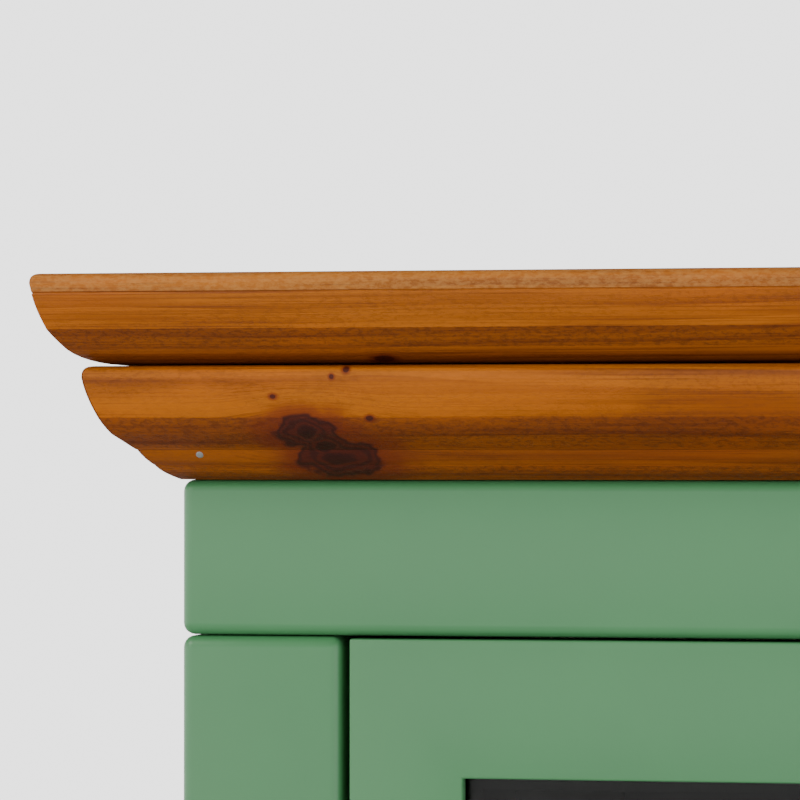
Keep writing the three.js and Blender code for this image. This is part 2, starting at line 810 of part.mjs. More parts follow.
function ashDrawer() {
  const half = ashBoxInside - ashPanPlay;
  const front = frontFace + drawerFrontThickness + seat;
  const back = ashBoxBack - ashBoxWall - ashPanRearPlay;
  const head = drawerHead - ashPanDrop;
  const wall = ashPanWall;
  const hollowLow = [-half + wall, front + wall, panFoot + wall];
  const hollow = block(hollowLow, [half - wall, back - wall, head + 1]);
  const pan = cut(solid(block([-half, front, panFoot], [half, back, head])), hollow);
  const middle = (drawerFoot + drawerHead) / 2;
  const faceBack = frontFace + drawerFrontThickness;
  const face = block([-doorHalf, frontFace, drawerFoot], [doorHalf, faceBack, drawerHead]);
  return [
    piece("ash_pan", shown(pan), bareSteel),
    piece("ash_drawer_front", face, greenPaint),
    knob("ash_drawer_knob", [0, middle], [drawerKnobRadius, drawerKnobLength, 0], stainedPine, seat),
  ];
}

// A turned knob that points out of the stove. A bore of that radius takes its stem.
function knob(name, [x, z], [radius, length, bore], material, standOff = knobStandOff) {
  const neck = radius * knobNeck;
  const profile = [
    [0, 0],
    [neck * 1.1, 0],
    [neck, length * 0.2],
    [neck, length * 0.4],
    [radius * 0.94, length * 0.58],
    [radius, length * 0.74],
    [radius * 0.9, length * 0.9],
    [radius * 0.6, length],
    [0, length],
  ];
  const body = turned(profile, smallRoundSteps).rotateX(Math.PI);
  const stem = rodY(bore + seat, 0, 0, -length / 2 - seat, 1);
  const geometry = bore > 0 ? shown(cut(solid(body), stem)) : body;
  return piece(name, geometry, material, [x, frontFace - standOff, z]);
}

// A black knob on a stem that comes through the air rail.
function smallKnob(name, x, stemRadius) {
  return knob(name, [x, airRailMiddle], [knobRadius, knobLength, stemRadius], blackIron);
}

// ---------------------------------------------------------------------------------------
// Air controls.

const airRailFront = frontFace + airRailSetback;
const airRailBack = airRailFront + airRailThickness;

function airPorts(sign, y0, y1, height) {
  const pitch = 2 * airTravel;
  return Array.from({ length: airPortCount }, (_, i) => {
    const x = sign * (airKnobOffset + airPortOffset + i * pitch);
    return block(
      [x - airPortWidth / 2, y0, airRailMiddle - height / 2],
      [x + airPortWidth / 2, y1, airRailMiddle + height / 2],
    );
  });
}

function airRail() {
  const half = openingHalf - seat;
  const cuts = [-1, 1].flatMap((sign) => {
    const ends = [
      sign * (airKnobOffset - airStemRadius - runningGap),
      sign * (airKnobOffset + airTravel + airStemRadius + runningGap),
    ].sort((a, b) => a - b);
    const tall = airStemRadius + runningGap;
    const slot = block(
      [ends[0], airRailFront - 1, airRailMiddle - tall],
      [ends[1], airRailBack + 1, airRailMiddle + tall],
    );
    return [slot, ...airPorts(sign, airRailFront - 1, airRailBack + 1, airPortHeight)];
  });
  const hole = rodY(shakerRodRadius + runningGap, 0, airRailMiddle, airRailFront - 1, airRailBack + 1);
  const body = solid(block([-half, airRailFront, airRailFoot], [half, airRailBack, airRailHead]));
  return piece("air_rail", shown(cut(body, hole, ...cuts)), blackIron);
}

function airSlide(name, sign) {
  const y0 = airRailBack + seat;
  const y1 = y0 + airSlideThickness;
  const near = airKnobOffset - airSlideMargin;
  const far = airKnobOffset + airPortOffset + (airPortCount - 1) * 2 * airTravel + airPortWidth / 2;
  const [x0, x1] = [sign * near, sign * (far + airSlideMargin)].sort((a, b) => a - b);
  const low = airRailMiddle - airSlideHeight / 2;
  const plate = block([x0, y0, low], [x1, y1, low + airSlideHeight]);
  const stemEnd = frontFace - knobStandOff - knobLength / 2;
  const stem = rodY(airStemRadius, sign * airKnobOffset, airRailMiddle, stemEnd, y0 + 1);
  const ports = airPorts(sign, y0 - 1, y1 + 1, airPortHeight);
  return piece(name, shown(cut(joined(plate, stem), ...ports)), blackSteel);
}

// ---------------------------------------------------------------------------------------
// Door, its hinges and its latch.

const windowHalf = doorHalf - doorStile;
const windowZ = [doorFoot + doorRail, doorHead - doorRail];

// The window's opening grown by a margin on every side.
const grownWindow = (margin) => [windowHalf + margin, [windowZ[0] - margin, windowZ[1] + margin]];

function door() {
  const seatFront = frontFace + glassLip;
  const [rebateHalf, rebateZ] = grownWindow(glassOverlap + glassPlay);
  const rebate = block([-rebateHalf, seatFront, rebateZ[0]], [rebateHalf, doorBack + 1, rebateZ[1]]);
  const spindleHole = rodY(spindleRadius + runningGap, spindleX, spindleZ, frontFace - 1, doorBack + 1);
  const frame = cut(
    ringY(doorHalf, [doorFoot, doorHead], windowHalf, windowZ, frontFace, doorBack),
    rebate,
    spindleHole,
  );
  const glassFront = seatFront + glassTape + seat;
  const glassBack = glassFront + glassThickness;
  const [glassHalf, glassZ] = grownWindow(glassOverlap);
  const glass = block([-glassHalf, glassFront, glassZ[0]], [glassHalf, glassBack, glassZ[1]]);
  const [tapeFront, tapeBack] = [seatFront + seat / 2, glassFront - seat / 2];
  const tape = ringY(glassHalf, glassZ, ...grownWindow(seat), tapeFront, tapeBack);
  const retainerFront = glassBack + seat;
  const [innerHalf, innerZ] = grownWindow(glassOverlap - retainerWidth);
  const retainer = ringY(
    glassHalf,
    glassZ,
    innerHalf,
    innerZ,
    retainerFront,
    retainerFront + retainerThickness,
  );
  const ropeHalf = doorHalf - ropeMargin;
  const rope = ringY(
    ropeHalf,
    [doorFoot + ropeMargin, doorHead - ropeMargin],
    ropeHalf - ropeWidth,
    [doorFoot + ropeMargin + ropeWidth, doorHead - ropeMargin - ropeWidth],
    doorBack + seat,
    doorBack + seat + ropeThickness,
  );
  return [
    piece("door_frame", shown(frame), greenPaint),
    piece("door_glass", glass, darkGlass),
    piece("glass_tape", shown(tape), blackRope),
    piece("glass_retainer", shown(retainer), blackSteel),
    piece("door_rope", shown(rope), blackRope),
  ];
}

// A hinge's half: its own knuckles on the pin's axis, and a leaf that lies in the gap
// beside the door. Heights are counted from the middle of the hinge.
function hingeHalf(name, knuckles, leafX, middle) {
  const radius = knuckleRadius;
  const clear = radius + runningGap;
  const half = hingeHeight / 2;
  const leaf = block([leafX, clear, -half], [leafX + leafThickness, knuckleStandOff + leafDepth, half]);
  const parts = knuckles.flatMap(([z0, z1]) => [
    rodZ(radius, 0, 0, z0, z1),
    block([leafX, 0, z0], [leafX + leafThickness, clear + 1, z1]),
  ]);
  const bore = rodZ(hingePinRadius + hingePinPlay, 0, 0, -half - 1, half + 1);
  return piece(name, shown(cut(joined(leaf, ...parts), bore)), blackSteel, [hingeX, hingeY, middle]);
}

function hinges(level) {
  const middle = hingeHeights[level];
  const half = hingeHeight / 2;
  const third = hingeHeight / 6;
  const gap = knuckleGap / 2;
  const fixedKnuckles = [[-half, -third - gap], [third + gap, half]];
  const doorKnuckles = [[-third + gap, third - gap]];
  const spare = (doorSideGap - 2 * leafThickness) / 4;
  const top = half + seat;
  const pin = turned([
    [0, -top - pinHeadHeight],
    [pinHeadRadius, -top - pinHeadHeight],
    [pinHeadRadius, -top],
    [hingePinRadius, -top],
    [hingePinRadius, top],
    [pinHeadRadius, top],
    [pinHeadRadius, top + pinHeadHeight],
    [0, top + pinHeadHeight],
  ], smallRoundSteps).rotateX(Math.PI / 2);
  return {
    fixed: [
      hingeHalf(`hinge_${level}_fixed`, fixedKnuckles, -spare - leafThickness, middle),
      piece(`hinge_${level}_pin`, pin, bareSteel, [hingeX, hingeY, middle]),
    ],
    swinging: [hingeHalf(`hinge_${level}_leaf`, doorKnuckles, spare, middle)],
  };
}

// The lever hangs from its spindle, and the tongue behind the door points up.
function latch() {
  const gripY = frontFace - leverStandOff;
  const spindleBack = camFront + camThickness + 2;
  const spindle = rodY(spindleRadius, spindleX, spindleZ, gripY, spindleBack);
  const bossEnds = [gripY - leverBarDepth / 2, frontFace - roseThickness - 1];
  const boss = rodY(roseRadius - 1, spindleX, spindleZ, ...bossEnds);
  const neckEnd = spindleZ - leverNeck;
  const arm = block(
    [spindleX - leverBarWidth / 2, gripY - leverBarDepth / 2, neckEnd],
    [spindleX + leverBarWidth / 2, gripY + leverBarDepth / 2, spindleZ],
  );
  const tang = rodZ(tangRadius, spindleX, gripY, neckEnd - tangLength, neckEnd + 1);
  const lever = joined(spindle, boss, arm, tang);
  const gripProfile = [
    [0, 0],
    [gripRadius * 0.6, 0],
    [gripRadius * 0.9, gripLength * 0.04],
    [gripRadius, gripLength * 0.14],
    [gripRadius * 0.86, gripLength * 0.5],
    [gripRadius * 0.78, gripLength * 0.9],
    [gripRadius * 0.66, gripLength],
    [0, gripLength],
  ];
  const gripHead = neckEnd - seat;
  const grip = turned(gripProfile, smallRoundSteps).rotateX(Math.PI / 2);
  const bore = rodZ(tangRadius + seat, 0, 0, gripLength - tangLength - 1, gripLength + 1);
  const gripBody = cut(solid(grip), bore);
  const rose = turned([
    [spindleRadius + runningGap, -seat - roseThickness],
    [roseRadius, -seat - roseThickness],
    [roseRadius, -seat],
    [spindleRadius + runningGap, -seat],
    [spindleRadius + runningGap, -seat - roseThickness],
  ], smallRoundSteps);
  const tongue = solid(block(
    [spindleX - camWidth / 2 - 1, camFront, spindleZ - camWidth / 2 - 1],
    [spindleX + camWidth / 2, camFront + camThickness, spindleZ + camReach],
  ));
  const eye = rodY(spindleRadius + seat, spindleX, spindleZ, camFront - 1, camFront + camThickness + 1);
  const eyeRing = rodY(spindleRadius + camEye, spindleX, spindleZ, camFront, camFront + camThickness);
  return {
    door: [piece("latch_rose", rose, blackSteel, [spindleX, frontFace, spindleZ])],
    handle: [
      piece("latch_lever", shown(lever), blackIron),
      piece("latch_grip", shown(gripBody), stainedPine, [spindleX, gripY, gripHead - gripLength]),
      piece("latch_tongue", shown(cut(tongue.add(solid(eyeRing)), eye)), bareSteel),
    ],
  };
}

// A thin plate on the post's inner side, with a slot over the mortise.
function striker() {
  const x1 = openingHalf - seat;
  const x0 = x1 - strikerThickness;
  const [, y0, z0] = pocket.low;
  const [, y1, z1] = pocket.high;
  const border = strikerBorder;
  const plate = solid(block([x0, y0 - border / 2, z0 - border], [x1, y1 + border, z1 + border]));
  const window = block([x0 - 1, y0, z0], [x1 + 1, y1, z1]);
  return piece("striker_plate", shown(cut(plate, window)), bareSteel);
}

// ---------------------------------------------------------------------------------------
// Assembly.

function group(name, ...meshes) {
  const made = new THREE.Group();
  made.name = name;
  made.add(...meshes.flat());
  return made;
}

const upper = hinges("upper");
const lower = hinges("lower");
const latchParts = latch();
const handle = group("handle", latchParts.handle);
const leftKnob = smallKnob("air_knob_left", -airKnobOffset, airStemRadius);
const rightKnob = smallKnob("air_knob_right", airKnobOffset, airStemRadius);

const stove = group(
  "stove",
  group(
    "casing",
    rails(),
    posts(),
    sidePanel("left", -1),
    sidePanel("right", 1),
    rearPanel(),
    plates(),
    plinth(),
    cornice(),
  ),
  group(
    "firebox",
    mouthPlate(),
    fireboxWrap(),
    fireboxPlates(),
    bricks(),
    baffle(),
    logGuard(),
    grate(),
    ashBox(),
    airRail(),
    flueCollar(),
  ),
  group("fixed_fittings", upper.fixed, lower.fixed, striker()),
  group("door", door(), upper.swinging, lower.swinging, latchParts.door, handle),
  group("ash_drawer", ashDrawer()),
  group("grate_shaker_set", shaker(), smallKnob("shaker_knob", 0, shakerRodRadius)),
  group("left_air", airSlide("air_slide_left", -1), leftKnob),
  group("right_air", airSlide("air_slide_right", 1), rightKnob),
);

export default stove;
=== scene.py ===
"""Looks of a wood burning stove in a green casing, under a stained pine cornice.

The solids come in as the frame. This file gives them their materials, replaces the ones
that need finer edges, adds the small fasteners, and sets the floor, lights and camera.
Lengths are metres. +X is to the right of the door, +Y towards the wall, +Z up.
"""

import json
import math

import bmesh
import bpy
from bpy.props import FloatProperty, FloatVectorProperty, PointerProperty
from mathutils import Matrix, Vector


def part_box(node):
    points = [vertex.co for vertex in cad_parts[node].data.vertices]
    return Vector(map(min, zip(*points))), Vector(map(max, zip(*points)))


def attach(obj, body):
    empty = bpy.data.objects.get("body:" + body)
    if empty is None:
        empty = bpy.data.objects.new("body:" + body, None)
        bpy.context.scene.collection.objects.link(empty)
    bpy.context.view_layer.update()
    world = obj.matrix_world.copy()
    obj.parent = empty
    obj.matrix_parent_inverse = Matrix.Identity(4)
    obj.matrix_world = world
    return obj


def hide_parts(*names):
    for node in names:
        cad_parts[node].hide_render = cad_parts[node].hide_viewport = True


bl_info = {
    "name": "Wood burning stove",
    "version": (1, 0, 0),
    "blender": (4, 5, 0),
    "location": "3D View > Sidebar > Stove",
    "description": "Finishes, small fasteners and stage of a wood burning stove",
    "category": "Object",
}

MM = 0.001

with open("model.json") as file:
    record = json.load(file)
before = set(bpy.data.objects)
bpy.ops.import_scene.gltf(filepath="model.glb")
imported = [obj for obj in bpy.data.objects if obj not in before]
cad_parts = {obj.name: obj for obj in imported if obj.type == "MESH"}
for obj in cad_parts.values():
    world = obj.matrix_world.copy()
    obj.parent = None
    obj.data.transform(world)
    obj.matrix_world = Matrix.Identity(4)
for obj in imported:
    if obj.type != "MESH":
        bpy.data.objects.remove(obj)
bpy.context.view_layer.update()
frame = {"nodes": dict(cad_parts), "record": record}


# --------------------------------------------------------------------------------------
# Settings.


def length(name, millimetres, description):
    """A length setting, given in millimetres and kept in metres."""
    return FloatProperty(
        name=name,
        description=description,
        default=millimetres * MM,
        min=0,
        precision=5,
        subtype="DISTANCE",
        unit="LENGTH",
    )


def colour(name, red, green, blue, description):
    """A colour setting, given as the 0 to 255 values seen on a screen."""
    screen = (red / 255, green / 255, blue / 255)
    light = [c / 12.92 if c <= 0.04045 else ((c + 0.055) / 1.055) ** 2.4 for c in screen]
    return FloatVectorProperty(
        name=name,
        description=description,
        default=light,
        size=3,
        min=0,
        max=1,
        subtype="COLOR",
    )


class StoveShape(bpy.types.PropertyGroup):
    """Sizes of the pieces that this file shapes by itself."""

    bar_round: length("Bar round", 3.6, "Radius of the casing bars' edges")
    bar_wall: length("Bar wall", 7, "Thickness of the casing bars' channel")
    door_round: length("Door round", 0.8, "Radius of the door frame's edges")
    plate_round: length("Plate round", 0.6, "Radius of the edges of plates and castings")
    brick_round: length("Brick round", 1.6, "Radius of the edges of bricks and boards")
    wood_round: length("Wood round", 0.35, "Radius of the sharp corners of the cornice")
    moulding_width: length("Moulding width", 40, "Reach of the moulding over the casing")
    seam: length("Seam", 0.3, "Gap at a mitre and between boards")
    pin_head: length("Pin head", 1.3, "Radius of a panel pin's head")
    screw_head: length("Screw head", 4, "Radius of a pan-headed screw")


class StoveFinish(bpy.types.PropertyGroup):
    """Colours and sheen."""

    green: colour("Green", 70, 130, 82, "Satin paint of the casing and the door")
    # Painted shade: the share of light left in the colour of moulded pine faces that look down.
    underside_shade_share: FloatProperty(
        name="Painted underside shade",
        description="Share of light left on moulded faces that look down",
        default=0.5,
        min=0,
        max=1,
    )
    green_rough: FloatProperty(
        name="Paint roughness",
        description="Roughness of the green paint",
        default=0.42,
        min=0,
        max=1,
    )
    pine_light: colour("Pine light", 176, 98, 8, "Early wood of the stained pine")
    pine_dark: colour("Pine dark", 102, 42, 4, "Late wood of the stained pine")
    pine_amber: colour("Pine amber", 198, 106, 0, "Resin-rich patches of the pine")
    pine_worn: colour("Pine worn", 188, 138, 76, "Dry, pale wood where the wax has worn")
    knot: colour("Knot", 64, 22, 12, "Heart of a knot")
    knot_ring: colour("Knot ring", 112, 40, 10, "Reddish wood round a knot")
    black: colour("Black", 34, 34, 33, "Stove black on castings and plates")
    steel: colour("Steel", 168, 170, 172, "Plain steel of pins, plates and screws")
    brick: colour("Brick", 206, 186, 148, "Fire bricks and hearth")
    board: colour("Board", 216, 208, 190, "Insulation board")
    rope: colour("Rope", 52, 50, 48, "Fibre rope and tape")


class StoveStage(bpy.types.PropertyGroup):
    """Floor, lights and camera."""

    lens: FloatProperty(
        name="Lens",
        description="Focal length of the camera",
        default=192.7,
        min=10,
        subtype="DISTANCE_CAMERA",
        unit="CAMERA",
    )
    azimuth: FloatProperty(
        name="Azimuth",
        description="How far round to the right the camera stands",
        default=math.radians(11.4),
        subtype="ANGLE",
        unit="ROTATION",
    )
    distance: length("Distance", 1300, "From the aim to the camera, along the floor")
    height: length("Height", 660, "Height of the camera")
    aim_left: length("Aim left", 231.6, "How far left of the middle the camera aims")
    aim_height: length("Aim height", 677.2, "Height of the point the camera aims at")
    key_power: FloatProperty(
        name="Key power",
        description="Power of the main light",
        default=55,
        min=0,
        subtype="POWER",
        unit="POWER",
    )
    fill_power: FloatProperty(
        name="Fill power",
        description="Power of the light on the right",
        default=18,
        min=0,
        subtype="POWER",
        unit="POWER",
    )
    wall: FloatProperty(
        name="Wall",
        description="Strength of the white light from the sides",
        default=2.6,
        min=0,
    )
    ceiling: FloatProperty(
        name="Ceiling",
        description="Strength of the white light from above",
        default=0.3,
        min=0,
    )


# --------------------------------------------------------------------------------------
# Materials.


class Nodes:
    """A material's node tree, with short ways to add and join nodes."""

    def __init__(self, name):
        self.material = bpy.data.materials.new(name)
        self.material.use_nodes = True
        self.tree = self.material.node_tree
        self.shader = self.tree.nodes["Principled BSDF"]

    def add(self, kind, values=None, **settings):
        """A new node. Values go on its inputs; a value that is a socket is linked."""
        node = self.tree.nodes.new(kind)
        for key, value in settings.items():
            setattr(node, key, value)
        for key, value in (values or {}).items():
            self.put(node.inputs[key], value)
        return node

    def put(self, socket, value):
        """Links a socket to an input, or sets the input's value."""
        if isinstance(value, bpy.types.NodeSocket):
            self.tree.links.new(value, socket)
        else:
            socket.default_value = value

    def set(self, **values):
        """Sets the shader's inputs, with _ for a space in their names."""
        for key, value in values.items():
            self.put(self.shader.inputs[key.replace("_", " ")], value)
        return self.material

    def place(self):
        """The point on the object, in metres."""
        return self.add("ShaderNodeTexCoord").outputs["Object"]

    def math(self, operation, *values):
        """One sum."""
        node = self.add("ShaderNodeMath", operation=operation)
        for socket, value in zip(node.inputs, values):
            self.put(socket, value)
        return node.outputs[0]

    def vector(self, operation, *values, out="Vector"):
        """One vector sum."""
        node = self.add("ShaderNodeVectorMath", operation=operation)
        for socket, value in zip(node.inputs, values):
            self.put(socket, value)
        return node.outputs[out]

    def noise(self, at, scale, detail=3.0, rough=0.55):
        """Noise between 0 and 1. The scale has one value per axis, in turns per metre."""
        turned = self.vector("MULTIPLY", at, scale)
        values = {"Vector": turned, "Scale": 1.0, "Detail": detail, "Roughness": rough}
        return self.add("ShaderNodeTexNoise", values).outputs[0]

    def span(self, value, low, high, to_low=0.0, to_high=1.0):
        """A value moved smoothly from one range to another."""
        values = {"Value": value}
        node = self.add("ShaderNodeMapRange", values, interpolation_type="SMOOTHSTEP")
        for socket, number in zip(node.inputs[1:5], (low, high, to_low, to_high)):
            self.put(socket, number)
        return node.outputs[0]

    def mix(self, factor, first, second, blend="MIX"):
        """Two colours mixed."""
        node = self.add("ShaderNodeMix", data_type="RGBA", blend_type=blend)
        self.put(node.inputs["Factor"], factor)
        self.put(node.inputs["A"], first)
        self.put(node.inputs["B"], second)
        return node.outputs["Result"]

    def bump(self, height, strength, distance):
        """A bump from a height between 0 and 1."""
        values = {"Height": height, "Strength": strength, "Distance": distance}
        return self.add("ShaderNodeBump", values).outputs["Normal"]


def rgba(value, gain=1.0):
    """A colour setting as four numbers, made lighter or darker."""
    return (*[min(1.0, c * gain) for c in value], 1.0)


def even(amount):
    """The same number along all three axes."""
    return (amount, amount, amount)


def paint(name, value, rough, grain=900.0, depth=0.12, metallic=0.0):
    """An even sprayed or brushed coat with a faint texture."""
    n = Nodes(name)
    at = n.place()
    cloud = n.noise(at, even(14.0), 3.0)
    shade = n.mix(n.span(cloud, 0.3, 0.7), rgba(value, 0.96), rgba(value, 1.04))
    fine = n.noise(at, even(grain), 2.0)
    sheen = n.span(cloud, 0.25, 0.75, rough - 0.04, rough + 0.04)
    normal = n.bump(fine, depth, 0.0002)
    return n.set(Base_Color=shade, Roughness=sheen, Metallic=metallic, Normal=normal)


def casting(name, value):
    """Stove black on a sand casting."""
    n = Nodes(name)
    at = n.place()
    sand = n.noise(at, even(700.0), 4.0, 0.7)
    dust = n.span(n.noise(at, even(25.0), 4.0), 0.45, 0.8)
    shade = n.mix(dust, rgba(value), rgba(value, 2.1))
    normal = n.bump(sand, 0.35, 0.0004)
    return n.set(Base_Color=shade, Roughness=0.62, Metallic=0.35, Normal=normal)


def brushed(name, value, scale, rough=0.34):
    """Bare metal with fine lines along one axis."""
    n = Nodes(name)
    lines = n.noise(n.place(), scale, 3.0)
    shade = n.mix(lines, rgba(value, 0.8), rgba(value, 1.1))
    sheen = n.span(lines, 0.3, 0.7, rough - 0.07, rough + 0.08)
    normal = n.bump(lines, 0.08, 0.0002)
    return n.set(Base_Color=shade, Roughness=sheen, Metallic=0.95, Normal=normal)


def refractory(name, value, soot):
    """Pressed brick or board, with pits and patches of soot."""
    n = Nodes(name)
    at = n.place()
    pits = n.noise(at, even(420.0), 5.0, 0.75)
    stain = n.span(n.noise(at, even(11.0), 4.0), 0.35, 0.75, 0.0, soot)
    flecks = n.mix(n.span(pits, 0.35, 0.65), rgba(value, 0.72), rgba(value))
    shade = n.mix(stain, flecks, (0.02, 0.018, 0.016, 1.0))
    return n.set(Base_Color=shade, Roughness=0.95, Normal=n.bump(pits, 0.5, 0.0008))


def knitted(name, value):
    """Knitted fibre rope or tape."""
    n = Nodes(name)
    values = {"Vector": n.place(), "Scale": 260.0, "Distortion": 3.0}
    weave = n.add("ShaderNodeTexWave", values, bands_direction="DIAGONAL")
    height = weave.outputs["Fac"]
    shade = n.mix(height, rgba(value, 0.5), rgba(value, 1.5))
    return n.set(Base_Color=shade, Roughness=0.95, Normal=n.bump(height, 0.8, 0.0008))


def clear_glass(name):
    """Smoke-tinted ceramic glass."""
    n = Nodes(name)
    return n.set(
        Base_Color=(0.38, 0.39, 0.37, 1.0),
        Roughness=0.0,
        IOR=1.2,
        Transmission_Weight=1.0,
    )


def warped(n, at, knots):
    """The point pushed aside near each knot, and how near it is to the nearest one."""
    moved = at
    nearest = None
    ragged = n.span(n.noise(at, even(120.0), 2.0), 0.3, 0.7, -0.18, 0.18)
    for centre, radii, push in knots:
        scaled = n.vector("DIVIDE", n.vector("SUBTRACT", at, centre), radii)
        reach = n.vector("LENGTH", scaled, out="Value")
        turn = n.vector("MULTIPLY", scaled, (0.1, 1.0, 1.0))
        shove = n.vector("SCALE", turn)
        n.put(shove.node.inputs["Scale"], n.span(reach, 0.4, 3.4, push, 0.0))
        moved = n.vector("SUBTRACT", moved, shove)
        edge = n.math("ADD", reach, ragged)
        nearest = edge if nearest is None else n.math("MINIMUM", nearest, edge)
    return moved, nearest


def knotted(n, body, nearest, looks):
    """A colour with dark, ringed knots and their reddish halos over it."""
    halo = n.span(nearest, 1.0, 2.3, 0.8, 0.0)
    body = n.mix(halo, body, rgba(looks.knot_ring))
    rings = n.math("SINE", n.math("MULTIPLY", nearest, 19.0))
    ringed = n.mix(n.span(rings, -0.8, 1.0, 0.0, 0.28), rgba(looks.knot), rgba(looks.knot_ring))
    ringed = n.mix(n.span(nearest, 0.1, 0.35, 0.7, 0.0), ringed, rgba(looks.knot, 0.4))
    return n.mix(n.span(nearest, 0.9, 1.12, 1.0, 0.0), body, ringed)


def between(n, height, low, high):
    """1 between two heights and 0 elsewhere, with a narrow fade at each."""
    above = n.span(height, low, low + 0.3 * MM)
    below = n.span(height, high, high - 0.3 * MM)
    return n.math("MULTIPLY", above, below)


def resinous(n, at, body, spots, looks):
    """A colour with amber spots of resin over it."""
    drift = n.noise(at, (30.0, 60.0, 120.0), 3.0)
    for centre, radii in spots:
        scaled = n.vector("DIVIDE", n.vector("SUBTRACT", at, centre), radii)
        reach = n.vector("LENGTH", scaled, out="Value")
        reach = n.math("ADD", reach, n.span(drift, 0.3, 0.7, -0.4, 0.4))
        body = n.mix(n.span(reach, 0.1, 1.5, 0.38, 0.0), body, rgba(looks.pine_amber))
    return body


# How fine the pine's features are, in turns per metre along and across the grain.
SWAY = (3.0, 16.0)
FIBRE = (16.0, 1700.0)
STREAK = (5.0, 330.0)
BLUSH = (7.0, 40.0)
PATCH = (11.0, 30.0)
CHATTER = (420.0, 900.0)
TORN_ZONE = (8.0, 90.0)
RINGS_PER_METRE = 240.0
# The annual rings run nearly straight along the trunk.
TAPER = 0.02


def pine(name, looks, along, pith, knots=(), resin=(), torn_facets=(), worn_from=None):
    """Stained and waxed pine, with its grain along X, Y or Z, and painted shade darkening the faces
    that look down.

    Torn facets are pairs of heights between which the cutter tore the fibres. The wax has
    worn off above the last height.
    """
    n = Nodes(name)
    at = n.place()
    lanes = {"X": (1.0, 0.0, 0.0), "Y": (0.0, 1.0, 0.0), "Z": (0.0, 0.0, 1.0)}[along]

    def stretch(long, across):
        return tuple(long * k + across * (1 - k) for k in lanes)

    moved, nearest = warped(n, at, knots)
    sway = n.noise(moved, stretch(*SWAY), 2.0)
    flat = n.vector("MULTIPLY", n.vector("SUBTRACT", moved, pith), stretch(TAPER, 1.0))
    radius = n.vector("LENGTH", flat, out="Value")
    swaying = n.math("MULTIPLY", sway, 5.0)
    saw = n.math("FRACT", n.math("ADD", n.math("MULTIPLY", radius, RINGS_PER_METRE), swaying))
    late = n.math("MULTIPLY", n.span(saw, 0.3, 0.92), n.span(saw, 1.0, 0.92))
    fibre = n.noise(moved, stretch(*FIBRE), 3.0, 0.65)
    streak = n.noise(moved, stretch(*STREAK), 4.0, 0.6)
    blush = n.noise(at, stretch(*BLUSH), 3.0)
    patch = n.noise(at, stretch(*PATCH), 2.0)
    chatter = n.noise(at, stretch(*CHATTER), 4.0, 0.75)
    torn_zone = n.span(n.noise(at, stretch(*TORN_ZONE), 3.0), 0.35, 0.7, 0.12, 0.6)
    place = n.add("ShaderNodeSeparateXYZ")
    n.put(place.inputs[0], at)
    for low, high in torn_facets:
        facet = between(n, place.outputs["Z"], low, high)
        facet = n.math("MULTIPLY", facet, n.span(blush, 0.2, 0.5, 0.4, 1.0))
        torn_zone = n.math("MAXIMUM", torn_zone, facet)
    light = n.mix(n.span(patch, 0.5, 0.78), rgba(looks.pine_light), rgba(looks.pine_amber))
    light = n.mix(n.span(blush, 0.35, 0.7, 0.0, 0.45), light, rgba(looks.pine_dark, 1.3))
    lines = n.math("MULTIPLY", late, n.span(streak, 0.3, 0.65, 0.25, 0.85))
    body = n.mix(n.math("MULTIPLY", lines, 0.72), light, rgba(looks.pine_dark))
    body = n.mix(n.span(streak, 0.5, 0.78, 0.0, 0.5), body, rgba(looks.pine_dark, 0.9))
    body = n.mix(n.span(fibre, 0.48, 0.75, 0.0, 0.6), body, rgba(looks.pine_dark, 0.75))
    torn = n.math("MULTIPLY", torn_zone, n.span(chatter, 0.46, 0.6))
    body = n.mix(n.math("MULTIPLY", torn_zone, 0.3), body, rgba(looks.pine_dark, 0.95))
    body = n.mix(n.math("MULTIPLY", torn, 0.42), body, rgba(looks.pine_dark, 0.45))
    body = resinous(n, at, body, resin, looks)
    if nearest is not None:
        body = knotted(n, body, nearest, looks)
    # Painted shade: faces that look down get a darker colour, standing in for the shade they fall
    # in under light from above.
    facing = n.add("ShaderNodeSeparateXYZ")
    n.put(facing.inputs[0], n.add("ShaderNodeNewGeometry").outputs["True Normal"])
    under = n.span(facing.outputs["Z"], -0.95, -0.72, looks.underside_shade_share, 0.74)
    painted_down_shade = n.math("MAXIMUM", under, n.span(facing.outputs["Z"], -0.6, -0.44))
    if worn_from:
        worn = n.span(place.outputs["Z"], worn_from, worn_from + 0.4 * MM)
        worn = n.math("MULTIPLY", worn, n.span(chatter, 0.35, 0.65, 0.42, 0.1))
        body = n.mix(worn, body, rgba(looks.pine_worn))
    # The painted shade, deeper in green and blue, is multiplied into the wood's colour.
    painted_down_tint = n.add("ShaderNodeCombineColor")
    for socket, power in zip(painted_down_tint.inputs, (1.0, 1.3, 1.1)):
        n.put(socket, n.math("POWER", painted_down_shade, power))
    body = n.mix(1.0, body, painted_down_tint.outputs[0], blend="MULTIPLY")
    height = n.math("SUBTRACT", n.math("MULTIPLY", fibre, 0.5), n.math("MULTIPLY", torn, 0.5))
    sheen = n.span(fibre, 0.3, 0.7, 0.36, 0.5)
    return n.set(
        Base_Color=body,
        Roughness=sheen,
        Specular_IOR_Level=0.2,
        Normal=n.bump(height, 0.35, 0.0005),
    )


# Where the knots are: centre, radii, and how far they push the grain aside.
MOULDING_KNOTS = (
    ((-0.2568, -0.202, 0.6672), (0.0100, 0.014, 0.0050), 0.0035),
    ((-0.2478, -0.192, 0.6592), (0.0128, 0.012, 0.0066), 0.0024),
    ((-0.2522, -0.197, 0.6634), (0.0074, 0.012, 0.0046), 0.0),
    ((-0.2431, -0.209, 0.6860), (0.0010, 0.003, 0.0010), 0.0005),
    ((-0.2475, -0.208, 0.6839), (0.0007, 0.003, 0.0007), 0.0003),
    ((-0.2659, -0.206, 0.6781), (0.0011, 0.003, 0.0008), 0.0005),
    ((-0.2366, -0.204, 0.6715), (0.0012, 0.003, 0.0008), 0.0005),
)
